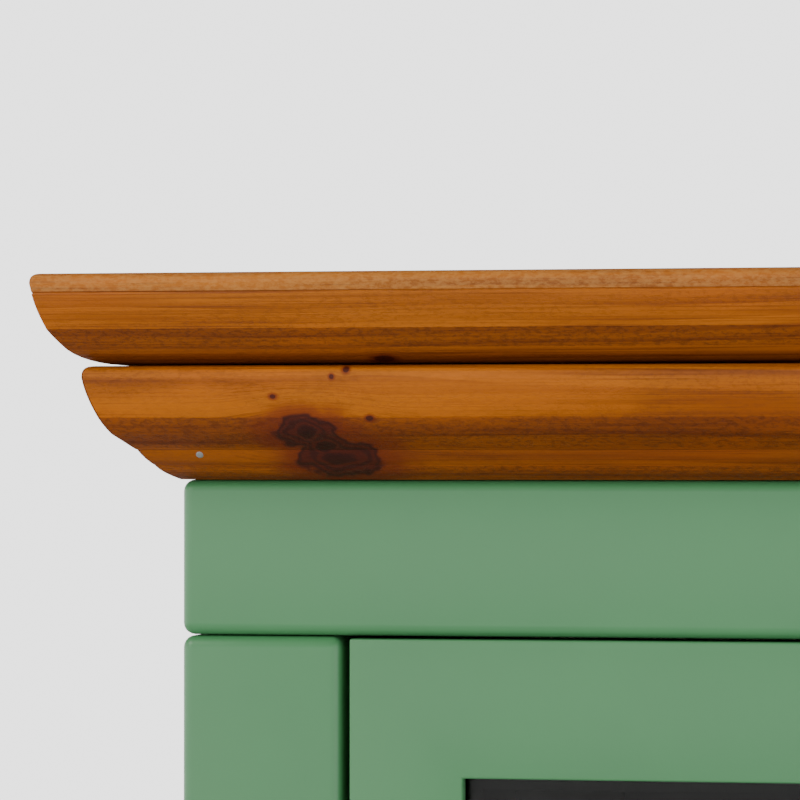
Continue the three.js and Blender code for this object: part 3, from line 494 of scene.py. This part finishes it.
# Where resin has turned the wood amber: centre and radii.
MOULDING_RESIN = (
    ((-0.2910, -0.205, 0.6790), (0.0170, 0.02, 0.0065)),
    ((-0.2080, -0.205, 0.6790), (0.0520, 0.02, 0.0075)),
    ((0.0400, -0.205, 0.6780), (0.0900, 0.02, 0.0070)),
)
BOARD_KNOTS = (((-0.2320, -0.206, 0.6895), (0.0030, 0.004, 0.0010), 0.001),)

# The lowest and highest points of the facets that the cutter tore.
BOARD_TORN = ((0.6924, 0.6985),)
MOULDING_TORN = ((0.6530, 0.6573), (0.6625, 0.6722))
BOARD_WORN = 0.7092


def finishes(looks):
    """Every material, by the record's slot or by the piece it is for."""
    return {
        "green_iron": paint("green_iron", looks.green, looks.green_rough),
        "green_steel": paint("green_steel", looks.green, looks.green_rough),
        "black_iron": casting("black_iron", looks.black),
        "black_steel": paint("black_steel", looks.black, 0.55, 500.0, 0.2, 0.3),
        "bright_steel": brushed("bright_steel", looks.steel, (60.0, 900.0, 900.0)),
        "zinc_steel": brushed("zinc_steel", looks.steel, (90.0, 70.0, 90.0), 0.42),
        "firebrick": refractory("firebrick", looks.brick, 0.75),
        "white_board": refractory("white_board", looks.board, 0.0),
        "rope": knitted("rope", looks.rope),
        "black_glass": clear_glass("black_glass"),
        "pine": pine(
            "pine",
            looks,
            "X",
            (0.0, -0.24, 0.74),
            knots=BOARD_KNOTS,
            torn_facets=BOARD_TORN,
            worn_from=BOARD_WORN,
        ),
        "pine_front": pine(
            "pine_front",
            looks,
            "X",
            (0.0, -0.26, 0.64),
            knots=MOULDING_KNOTS,
            resin=MOULDING_RESIN,
            torn_facets=MOULDING_TORN,
        ),
        "pine_side": pine(
            "pine_side", looks, "Y", (-0.35, 0.0, 0.64), torn_facets=MOULDING_TORN
        ),
        "pine_turned": pine("pine_turned", looks, "Z", (0.2, -0.18, 0.3)),
    }


# --------------------------------------------------------------------------------------
# Shapes.


def show(name, mesh, material, body, slot, *nodes, angle=30.0):
    """A mesh as a piece that rides on a body, in place of some nodes."""
    mesh.shade_smooth()
    mesh.set_sharp_from_angle(angle=math.radians(angle))
    obj = bpy.data.objects.new(name, mesh)
    bpy.context.scene.collection.objects.link(obj)
    mesh.materials.clear()
    mesh.materials.append(material)
    if nodes:
        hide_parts(*nodes)
    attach(obj, body)
    return obj


def finished(name, build):
    """The mesh that build(bm) makes."""
    bm = bmesh.new()
    build(bm)
    bmesh.ops.recalc_face_normals(bm, faces=bm.faces)
    mesh = bpy.data.meshes.new(name)
    bm.to_mesh(mesh)
    bm.free()
    return mesh


def round_edges(bm, edges, width, segments=3):
    """Rounds edges to a radius."""
    bmesh.ops.bevel(
        bm,
        geom=list(edges),
        offset=width,
        segments=segments,
        profile=0.5,
        affect="EDGES",
        clamp_overlap=True,
    )


def add_box(bm, low, high):
    """A box between two corners. Returns its vertices."""
    middle = (Vector(low) + Vector(high)) / 2
    size = Vector(high) - Vector(low)
    place = Matrix.Translation(middle) @ Matrix.Diagonal((*size, 1.0))
    return bmesh.ops.create_cube(bm, size=1.0, matrix=place)["verts"]


def channel(low, high, outward, wall, radius):
    """A mesh of a round-edged bar, hollow from the side that outward names."""

    def build(bm):
        add_box(bm, low, high)
        outer = list(bm.edges)
        bm.normal_update()
        side = max(bm.faces, key=lambda f: f.normal.dot(outward))
        depth = abs((Vector(high) - Vector(low)).dot(outward)) - wall
        bmesh.ops.inset_region(bm, faces=[side], thickness=wall)
        pushed = bmesh.ops.extrude_discrete_faces(bm, faces=[side])["faces"][0]
        bmesh.ops.translate(bm, verts=pushed.verts, vec=-outward * depth)
        round_edges(bm, [e for e in outer if e.is_valid], radius, 5)

    return finished("bar", build)


def softened(node, width, segments=2, least=20.0):
    """A copy of a node's mesh with its sharp edges rounded."""

    def build(bm):
        bm.from_mesh(frame["nodes"][node].data)
        bmesh.ops.remove_doubles(bm, verts=bm.verts, dist=1e-6)
        bmesh.ops.dissolve_limit(
            bm,
            angle_limit=math.radians(0.5),
            verts=bm.verts,
            edges=bm.edges,
        )
        bm.normal_update()
        limit = math.radians(least)
        sharp = [e for e in bm.edges if len(e.link_faces) == 2 and e.calc_face_angle() > limit]
        round_edges(bm, sharp, width, segments)

    return finished(node, build)


def loft(rings):
    """A closed mesh through rings of points, each ring with the same number of points."""

    def build(bm):
        loops = [[bm.verts.new(p) for p in ring] for ring in rings]
        count = len(loops[0])
        for first, second in zip(loops, loops[1:]):
            for i in range(count):
                j = (i + 1) % count
                bm.faces.new((first[i], first[j], second[j], second[i]))
        bm.faces.new(loops[0][::-1])
        bm.faces.new(loops[-1])

    return finished("loft", build)


def turned(profile, origin, direction, segments=48):
    """A mesh of a profile of (radius, distance) points turned about a direction."""
    aim = Vector(direction)
    side = aim.orthogonal().normalized()
    other = aim.cross(side)

    def build(bm):
        loops = []
        for radius, distance in profile:
            centre = Vector(origin) + aim * distance
            if radius == 0:
                loops.append([bm.verts.new(centre)])
                continue
            loop = []
            for i in range(segments):
                a = 2 * math.pi * i / segments
                spoke = side * math.cos(a) + other * math.sin(a)
                loop.append(bm.verts.new(centre + spoke * radius))
            loops.append(loop)
        for first, second in zip(loops, loops[1:]):
            for i in range(segments):
                j = (i + 1) % segments
                corners = [first[i % len(first)], first[j % len(first)]]
                corners += [second[j % len(second)], second[i % len(second)]]
                bm.faces.new(list(dict.fromkeys(corners)))

    return finished("turned", build)


def curve(start, towards, end, steps):
    """Points on a bowed line."""
    points = []
    for i in range(steps + 1):
        t = i / steps
        weights = ((1 - t) ** 2, 2 * t * (1 - t), t * t)
        ways = zip(start, towards, end)
        points.append(tuple(sum(w * c for w, c in zip(weights, way)) for way in ways))
    return points


# --------------------------------------------------------------------------------------
# Cornice profiles: (reach beyond the casing, height over the piece's foot), millimetres.


def moulding_profile():
    """Stepped, bowed and hollowed front of the lower moulding, from its foot up."""
    foot = curve((0, 0), (4.5, 1.9), (6.3, 4.0), 4)
    lower = curve((6.5, 4.3), (9.0, 6.0), (11.0, 9.1), 4)
    ledge = [(11.5, 9.3), (17.2, 13.7)]
    flank = curve((17.5, 14.0), (19.2, 16.0), (20.6, 18.6), 3)
    nose = curve((20.8, 19.0), (23.9, 25.4), (24.8, 30.8), 8)
    top = curve((24.8, 31.4), (24.8, 34.3), (21.9, 34.4), 5)
    return foot + lower + ledge + flank + nose + top


def board_profile():
    """Bowed front of the upper board, from its foot up, with a fine groove under its top."""
    foot = curve((17.6, 0), (24.6, 1.0), (28.3, 4.2), 5)
    chest = curve((28.6, 4.5), (31.2, 7.2), (33.4, 10.3), 4)
    brow = curve((33.5, 10.6), (36.0, 16.0), (37.0, 20.7), 6)
    quirk = [(36.8, 21.1), (37.1, 21.5)]
    top = curve((37.6, 23.9), (37.7, 26.9), (34.9, 27.0), 6)
    return foot + chest + brow + quirk + top


def moulding_foot(shape):
    """Height of the moulding's foot, just clear of the top rail."""
    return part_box("top_rail_front")[1].z + shape.seam / 10


def cornice(shape, mats):
    """The upper board and the three mitred lengths of the lower moulding."""
    low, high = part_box("top_rail_front")
    half = high.x
    front = low.y
    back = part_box("mantel_board")[1].y
    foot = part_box("mantel_board")[0].z
    rings = []
    profile = [(reach * MM, foot + z * MM) for reach, z in board_profile()]
    for reach, z in profile:
        x = half + reach
        y = front - reach
        rings.append([(-x, back, z), (-x, y, z), (x, y, z), (x, back, z)])
    board = show(
        "Mantel_board", loft(rings), mats["pine"], "stove", "pine", "mantel_board", angle=11
    )
    soften_corners(board, shape.wood_round)
    foot = moulding_foot(shape)
    inner = -shape.moulding_width
    outline = [(reach * MM, foot + z * MM) for reach, z in moulding_profile()]
    top = outline[-1][1]
    outline += [(inner, top), (inner, foot)]
    gap = shape.seam / math.sqrt(2)
    ends = []
    for sign in (-1, 1):
        ends.append([(sign * (half + reach - gap), front - reach - gap, z) for reach, z in outline])
    front_piece = show(
        "Moulding_front",
        loft(ends),
        mats["pine_front"],
        "stove",
        "pine",
        "moulding_front",
        angle=11,
    )
    soften_corners(front_piece, shape.wood_round)
    for side, sign in (("left", -1), ("right", 1)):
        mitre = [(sign * (half + reach + gap), front - reach + gap, z) for reach, z in outline]
        square = [(sign * (half + reach), back, z) for reach, z in outline]
        piece = show(
            f"Moulding_{side}",
            loft([mitre, square]),
            mats["pine_side"],
            "stove",
            "pine",
            f"moulding_{side}",
            angle=11,
        )
        soften_corners(piece, shape.wood_round)


def soften_corners(obj, width):
    """A small round on an object's sharp edges."""
    bevel = obj.modifiers.new("Softened", "BEVEL")
    bevel.width = width
    bevel.segments = 3
    bevel.limit_method = "ANGLE"
    bevel.angle_limit = math.radians(38)
    bevel.harden_normals = False


# --------------------------------------------------------------------------------------
# Casing, door and inner pieces.

BARS = {
    "base_rail_front": (0, 1, 0),
    "base_rail_left": (1, 0, 0),
    "base_rail_right": (-1, 0, 0),
    "top_rail_front": (0, 1, 0),
    "top_rail_left": (1, 0, 0),
    "top_rail_right": (-1, 0, 0),
    "post_front_left": (0, 1, 0),
    "post_front_right": (0, 1, 0),
    "post_rear_left": (0, -1, 0),
    "post_rear_right": (0, -1, 0),
}


def casing(shape, mats):
    """The round-edged bars of the casing."""
    for node, outward in BARS.items():
        low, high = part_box(node)
        mesh = channel(low, high, Vector(outward), shape.bar_wall, shape.bar_round)
        name = node.capitalize()
        bar = show(name, mesh, mats["green_iron"], "stove", "green_iron", node)
        if node == "post_front_right":
            carve(bar, *mortise())


def mortise():
    """The box that the latch's tongue turns into."""
    low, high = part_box("striker_plate")
    tongue_low, tongue_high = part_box("latch_tongue")
    play = 2 * MM
    shoulder = 12 * MM
    depth = 13 * MM
    return (
        Vector((low.x, tongue_low.y - play, low.z + shoulder)),
        Vector((high.x + depth, tongue_high.y + play, high.z - shoulder)),
    )


def carve(obj, low, high):
    """Cuts a box out of an object and keeps the result as its mesh."""
    tool_mesh = finished("tool", lambda bm: add_box(bm, low, high))
    tool = bpy.data.objects.new("tool", tool_mesh)
    bpy.context.scene.collection.objects.link(tool)
    cut = obj.modifiers.new("cut", "BOOLEAN")
    cut.object = tool
    cut.operation = "DIFFERENCE"
    cut.solver = "EXACT"
    graph = bpy.context.evaluated_depsgraph_get()
    mesh = bpy.data.meshes.new_from_object(obj.evaluated_get(graph))
    obj.modifiers.clear()
    obj.data = mesh
    bpy.data.objects.remove(tool)


SOFT_NODES = (
    ("door_frame", "door", "green_iron", "door"),
    ("ash_drawer_front", "ash_drawer", "green_iron", "door"),
    ("plinth", "stove", "black_iron", "plate"),
    ("air_rail", "stove", "black_iron", "plate"),
    ("mouth_plate", "stove", "black_iron", "plate"),
    ("log_guard", "stove", "black_iron", "plate"),
    ("grate", "stove", "black_iron", "plate"),
    ("striker_plate", "stove", "bright_steel", "thin"),
    ("glass_retainer", "door", "black_steel", "thin"),
    ("hearth_tile", "stove", "firebrick", "brick"),
    ("brick_rear", "stove", "firebrick", "brick"),
    ("brick_left", "stove", "firebrick", "brick"),
    ("brick_right", "stove", "firebrick", "brick"),
    ("baffle", "stove", "firebrick", "brick"),
    ("door_rope", "door", "rope", "rope"),
    ("latch_lever", "latch_handle", "black_iron", "plate"),
    ("latch_tongue", "latch_handle", "bright_steel", "plate"),
    ("flue_collar", "stove", "black_iron", "plate"),
)


def inner_pieces(shape, mats):
    """Copies of plates, castings and bricks with rounded edges."""
    widths = {
        "door": shape.door_round,
        "plate": shape.plate_round,
        "thin": shape.plate_round / 3,
        "brick": shape.brick_round,
        "rope": 2.4 * MM,
    }
    for node, body, slot, edge in SOFT_NODES:
        mesh = softened(node, widths[edge], 3 if edge in ("door", "rope") else 2)
        show(node.capitalize(), mesh, mats[slot], body, slot, node)


def coat_nodes(mats):
    """The material of every node that is still shown."""
    slots = {row["node"]: row["material_slot"] for row in frame["record"]["subparts"]}
    for node, obj in frame["nodes"].items():
        obj.data.materials.clear()
        obj.data.materials.append(mats[slots[node]])


# --------------------------------------------------------------------------------------
# Knobs, grip and small fasteners.

KNOBS = (
    ("shaker_knob", "grate_shaker", "black_iron"),
    ("air_knob_left", "air_control_left", "black_iron"),
    ("air_knob_right", "air_control_right", "black_iron"),
)


def knobs(mats):
    """Turned knobs, the latch's grip, and its ferrule."""
    for node, body, slot in KNOBS:
        low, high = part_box(node)
        radius = (high.x - low.x) / 2
        depth = high.y - low.y
        centre = ((low.x + high.x) / 2, high.y, (low.z + high.z) / 2)
        neck = radius * 0.75
        profile = [(0, 0), (neck * 1.08, 0)]
        profile += scaled(curve((0.8, 0.03), (0.7, 0.2), (0.74, 0.38), 5), radius, depth)
        profile += scaled(curve((0.74, 0.38), (0.98, 0.45), (1.0, 0.72), 6)[1:], radius, depth)
        profile += scaled(curve((1.0, 0.72), (0.98, 0.98), (0.6, 1.0), 6)[1:], radius, depth)
        profile.append((0, depth))
        mesh = turned(profile, centre, (0, -1, 0))
        show(node.capitalize(), mesh, mats[slot], body, slot, node, angle=50)
    low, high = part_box("ash_drawer_knob")
    radius = (high.x - low.x) / 2
    depth = high.y - low.y
    centre = ((low.x + high.x) / 2, high.y, (low.z + high.z) / 2)
    profile = [(0, 0), (radius * 0.8, 0)]
    profile += scaled(curve((0.8, 0.05), (0.62, 0.12), (0.6, 0.36), 6), radius, depth)
    profile += scaled(curve((0.62, 0.4), (0.98, 0.46), (1.0, 0.7), 7), radius, depth)
    profile += scaled(curve((1.0, 0.7), (0.98, 0.93), (0.5, 0.99), 7)[1:], radius, depth)
    profile += [(radius * 0.2, depth), (0, depth)]
    mesh = turned(profile, centre, (0, -1, 0))
    name = "ash_drawer_knob"
    show(name.capitalize(), mesh, mats["pine_turned"], "ash_drawer", "pine", name, angle=50)
    low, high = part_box("latch_grip")
    radius = (high.x - low.x) / 2
    tall = high.z - low.z
    centre = ((low.x + high.x) / 2, (low.y + high.y) / 2, low.z)
    profile = [(0, 0)]
    profile += scaled(curve((0.3, 0), (0.95, 0.0), (1.0, 0.13), 7), radius, tall)
    profile += scaled(curve((1.0, 0.13), (0.98, 0.4), (0.8, 0.8), 7)[1:], radius, tall)
    profile += scaled([(0.74, 0.9), (0.72, 0.93)], radius, tall)
    profile.append((0, tall * 0.93))
    mesh = turned(profile, centre, (0, 0, 1))
    grip = "latch_grip"
    show(grip.capitalize(), mesh, mats["pine_turned"], "latch_handle", "pine", grip, angle=50)
    ring = scaled([(0, 0.931), (0.76, 0.931), (0.78, 0.936), (0.78, 0.99)], radius, tall)
    ring += scaled([(0.72, 1.0), (0, 1.0)], radius, tall)
    mesh = turned(ring, centre, (0, 0, 1))
    show("Latch_ferrule", mesh, mats["bright_steel"], "latch_handle", "bright_steel")


def scaled(points, across, along):
    """Points of a profile grown to a radius and a length."""
    return [(radius * across, distance * along) for radius, distance in points]


def screw(name, at, direction, radius, body, mats, slot="black_steel"):
    """A pan-headed screw with a slot across it."""
    head = radius * 0.55
    profile = [(0, 0), (radius, 0)]
    profile += scaled(curve((1.0, 0.35), (0.98, 0.9), (0.6, 1.0), 4), radius, head)
    profile.append((0, head))
    mesh = turned(profile, at, direction, 24)
    obj = show(name, mesh, mats[slot], body, slot, angle=50)
    aim = Vector(direction)
    reach = Vector([1.0 if abs(c) < 0.5 else 0.0 for c in aim])
    long_axis = Vector((0, 0, 1)) if abs(aim.z) < 0.5 else Vector((1, 0, 0))
    size = Vector([radius * 0.12] * 3) + long_axis * radius * 1.2
    size = Vector([s if r else head * 0.35 for s, r in zip(size, reach)])
    centre = Vector(at) + aim * head
    carve(obj, centre - size, centre + size)
    obj.data.shade_smooth()
    obj.data.set_sharp_from_angle(angle=math.radians(50))
    return obj


# Where the panel pins go: reach and height on the moulding, and places along it.
PIN_REACH = 9.93 * MM
PIN_HEIGHT = 7.58 * MM
PIN_SLOPE = (0.78, -0.62)
PIN_ENDS = (8.3 * MM, 11 * MM)
PIN_SIDES = (("front", 20 * MM), ("back", 320 * MM))


def pins(shape, mats):
    """Panel pins through the lower bead of the moulding."""
    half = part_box("top_rail_front")[1].x
    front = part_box("top_rail_front")[0].y
    foot = moulding_foot(shape)
    out, down = PIN_SLOPE
    slope = Vector((0, -out, down)).normalized()
    spots = {"left": -half + PIN_ENDS[0], "middle": 4 * MM, "right": half - PIN_ENDS[1]}
    for name, x in spots.items():
        at = Vector((x, front - PIN_REACH, foot + PIN_HEIGHT))
        pin(f"Pin_front_{name}", at, slope, shape, mats)
    for side, sign in (("left", -1), ("right", 1)):
        slant = Vector((sign * out, 0, down)).normalized()
        for place, back in PIN_SIDES:
            at = Vector((sign * (half + PIN_REACH), front + back, foot + PIN_HEIGHT))
            pin(f"Pin_{side}_{place}", at, slant, shape, mats)


def pin(name, at, direction, shape, mats):
    """The head of a panel pin, a little proud of the wood."""
    r = shape.pin_head
    profile = [(0, -0.6 * MM), (r, -0.6 * MM), (r, 0.05 * MM)]
    profile += [(r * 0.8, 0.22 * MM), (r * 0.35, 0.28 * MM), (0, 0.2 * MM)]
    mesh = turned(profile, at, direction, 20)
    show(name, mesh, mats["bright_steel"], "stove", "bright_steel", angle=50)


# Where the screws go, and their heads as shares of a full head.
REAR_INSET = 9 * MM
REAR_HEAD = 0.8
RETAINER_INSET = 32.5 * MM
RETAINER_LEVELS = (("low", 0.26), ("mid", 0.36), ("high", 0.53))
RETAINER_HEAD = 0.75
STRIKER_INSET = 6 * MM
STRIKER_HEAD = 0.4


def screws(shape, mats):
    """Screws of the rear panel, the glass retainer and the striker."""
    low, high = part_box("rear_panel")
    r = shape.screw_head
    back = (0, 1, 0)
    columns = (low.x + REAR_INSET, low.x / 2, high.x / 2, high.x - REAR_INSET)
    for i, x in enumerate(columns):
        for level, z in (("low", low.z + REAR_INSET), ("high", high.z - REAR_INSET)):
            name = f"Rear_screw_{level}_{i}"
            screw(name, (x, high.y, z), back, r * REAR_HEAD, "stove", mats)
    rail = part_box("door_frame")[1].x - RETAINER_INSET
    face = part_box("glass_retainer")[1].y
    for side, x in (("left", -rail), ("right", rail)):
        for level, z in RETAINER_LEVELS:
            name = f"Glass_screw_{side}_{level}"
            screw(name, (x, face, z), back, r * RETAINER_HEAD, "door", mats)
    low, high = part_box("striker_plate")
    middle = (low.y + high.y) / 2
    for level, z in (("low", low.z + STRIKER_INSET), ("high", high.z - STRIKER_INSET)):
        name = f"Striker_screw_{level}"
        at = (low.x, middle, z)
        screw(name, at, (-1, 0, 0), r * STRIKER_HEAD, "stove", mats, "bright_steel")


# --------------------------------------------------------------------------------------
# Stage.


LIGHTS_AIM = (-0.1, -0.15, 0.45)
KEY_PLACE = (-2.4, -1.9, 2.6)
FILL_PLACE = (2.6, -1.6, 1.6)
REAR_PLACE = (0.8, 3.0, 2.4)
# Sines of the angles above the horizon between which the wall fades into the ceiling.
WALL_TOP = 0.14
CEILING_FOOT = 0.30
FLOOR_HALF = 4.2
FLOOR_FADE = (2.2, 4.0)
FLOOR_DROP = 0.2 * MM


def area_light(name, at, side, power, tint):
    """A soft square light that faces the stove."""
    data = bpy.data.lights.new(name, "AREA")
    data.shape = "SQUARE"
    data.size = side
    data.energy = power
    data.color = tint
    obj = bpy.data.objects.new(name, data)
    bpy.context.scene.collection.objects.link(obj)
    obj.location = at
    obj.rotation_mode = "QUATERNION"
    obj.rotation_quaternion = (Vector(LIGHTS_AIM) - Vector(at)).to_track_quat("-Z", "Y")


def stage(options):
    """Floor, even light, two soft lights and the camera."""
    scene = bpy.context.scene
    world = bpy.data.worlds.new("Even light")
    world.use_nodes = True
    nodes = world.node_tree.nodes
    links = world.node_tree.links
    direction = nodes.new("ShaderNodeTexCoord")
    height = nodes.new("ShaderNodeSeparateXYZ")
    fade = nodes.new("ShaderNodeMapRange")
    fade.interpolation_type = "SMOOTHSTEP"
    links.new(direction.outputs["Generated"], height.inputs[0])
    links.new(height.outputs["Z"], fade.inputs["Value"])
    limits = (WALL_TOP, CEILING_FOOT, options.wall, options.ceiling)
    for socket, number in zip(fade.inputs[1:5], limits):
        socket.default_value = number
    back = nodes["Background"]
    back.inputs["Color"].default_value = (1.0, 1.0, 1.0, 1.0)
    links.new(fade.outputs[0], back.inputs["Strength"])
    scene.world = world
    n = Nodes("Floor")
    at = n.place()
    shade = n.mix(n.noise(at, even(3.0)), (0.80, 0.80, 0.79, 1.0), (0.84, 0.84, 0.83, 1.0))
    away = n.vector("LENGTH", at, out="Value")
    fading = n.span(away, *FLOOR_FADE, 1.0, 0.0)
    material = n.set(Base_Color=shade, Roughness=0.8, Alpha=fading)

    def build(bm):
        bmesh.ops.create_grid(bm, x_segments=8, y_segments=8, size=FLOOR_HALF)

    mesh = finished("Floor", build)
    mesh.materials.append(material)
    floor = bpy.data.objects.new("Floor", mesh)
    scene.collection.objects.link(floor)
    floor.location.z = -FLOOR_DROP
    area_light("Key", KEY_PLACE, 1.4, options.key_power, (1.0, 0.98, 0.95))
    area_light("Fill", FILL_PLACE, 1.8, options.fill_power, (0.95, 0.98, 1.0))
    area_light("Rear", REAR_PLACE, 1.8, options.fill_power, (1.0, 1.0, 1.0))
    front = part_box("top_rail_front")[0].y
    target = Vector((-options.aim_left, front, options.aim_height))
    turn = options.azimuth
    reach = options.distance
    at = Vector((target.x + reach * math.sin(turn), front - reach * math.cos(turn), options.height))
    data = bpy.data.cameras.new("Camera")
    data.lens = options.lens
    data.sensor_width = 36.0
    data.clip_start = 0.05
    camera = bpy.data.objects.new("Camera", data)
    scene.collection.objects.link(camera)
    camera.location = at
    camera.rotation_euler = (target - at).to_track_quat("-Z", "Y").to_euler()
    scene.camera = camera


# --------------------------------------------------------------------------------------
# Operators and panel.


MADE = {}


def materials_made(context):
    """The materials, made once."""
    if not MADE:
        MADE.update(finishes(context.scene.stove_finish))
    return MADE


class STOVE_OT_coat(bpy.types.Operator):
    """Give every solid of the frame its material"""

    bl_idname = "stove.coat"
    bl_label = "Coat the solids"

    def execute(self, context):
        coat_nodes(materials_made(context))
        return {"FINISHED"}


class STOVE_OT_casing(bpy.types.Operator):
    """Make the round-edged bars of the casing"""

    bl_idname = "stove.casing"
    bl_label = "Casing bars"

    def execute(self, context):
        casing(context.scene.stove_shape, materials_made(context))
        return {"FINISHED"}


class STOVE_OT_cornice(bpy.types.Operator):
    """Make the pine board and the moulding under it"""

    bl_idname = "stove.cornice"
    bl_label = "Cornice"

    def execute(self, context):
        cornice(context.scene.stove_shape, materials_made(context))
        return {"FINISHED"}


class STOVE_OT_inner(bpy.types.Operator):
    """Round the edges of the door, plates, castings and bricks"""

    bl_idname = "stove.inner"
    bl_label = "Door and inner pieces"

    def execute(self, context):
        inner_pieces(context.scene.stove_shape, materials_made(context))
        return {"FINISHED"}


class STOVE_OT_knobs(bpy.types.Operator):
    """Make the knobs, the latch's grip and its ferrule"""

    bl_idname = "stove.knobs"
    bl_label = "Knobs and grip"

    def execute(self, context):
        knobs(materials_made(context))
        return {"FINISHED"}


class STOVE_OT_fasteners(bpy.types.Operator):
    """Add the panel pins and screws"""

    bl_idname = "stove.fasteners"
    bl_label = "Pins and screws"

    def execute(self, context):
        mats = materials_made(context)
        pins(context.scene.stove_shape, mats)
        screws(context.scene.stove_shape, mats)
        return {"FINISHED"}


class STOVE_OT_stage(bpy.types.Operator):
    """Set the floor, the lights and the camera"""

    bl_idname = "stove.stage"
    bl_label = "Stage"

    def execute(self, context):
        stage(context.scene.stove_stage)
        return {"FINISHED"}


OPERATORS = (
    STOVE_OT_coat,
    STOVE_OT_casing,
    STOVE_OT_cornice,
    STOVE_OT_inner,
    STOVE_OT_knobs,
    STOVE_OT_fasteners,
    STOVE_OT_stage,
)


class STOVE_PT_panel(bpy.types.Panel):
    """Sizes, finishes and stage of the stove"""

    bl_idname = "STOVE_PT_panel"
    bl_label = "Stove"
    bl_space_type = "VIEW_3D"
    bl_region_type = "UI"
    bl_category = "Stove"

    def draw(self, context):
        scene = context.scene
        for title, group in (
            ("Shape", scene.stove_shape),
            ("Finish", scene.stove_finish),
            ("Stage", scene.stove_stage),
        ):
            box = self.layout.box()
            box.label(text=title)
            for name in group.__annotations__:
                box.prop(group, name)
        for operator in OPERATORS:
            self.layout.operator(operator.bl_idname)


GROUPS = (
    ("stove_shape", StoveShape),
    ("stove_finish", StoveFinish),
    ("stove_stage", StoveStage),
)


def register():
    """Registers the classes and hangs the settings on the scene."""
    for name, group in GROUPS:
        bpy.utils.register_class(group)
        setattr(bpy.types.Scene, name, PointerProperty(type=group))
    for item in (*OPERATORS, STOVE_PT_panel):
        bpy.utils.register_class(item)


def unregister():
    """Takes everything off again."""
    for item in reversed((*OPERATORS, STOVE_PT_panel)):
        bpy.utils.unregister_class(item)
    for name, group in reversed(GROUPS):
        delattr(bpy.types.Scene, name)
        bpy.utils.unregister_class(group)


def main():
    """Makes the whole scene."""
    register()
    for operator in OPERATORS:
        family, name = operator.bl_idname.split(".")
        getattr(getattr(bpy.ops, family), name)()


if __name__ == "__main__":
    main()
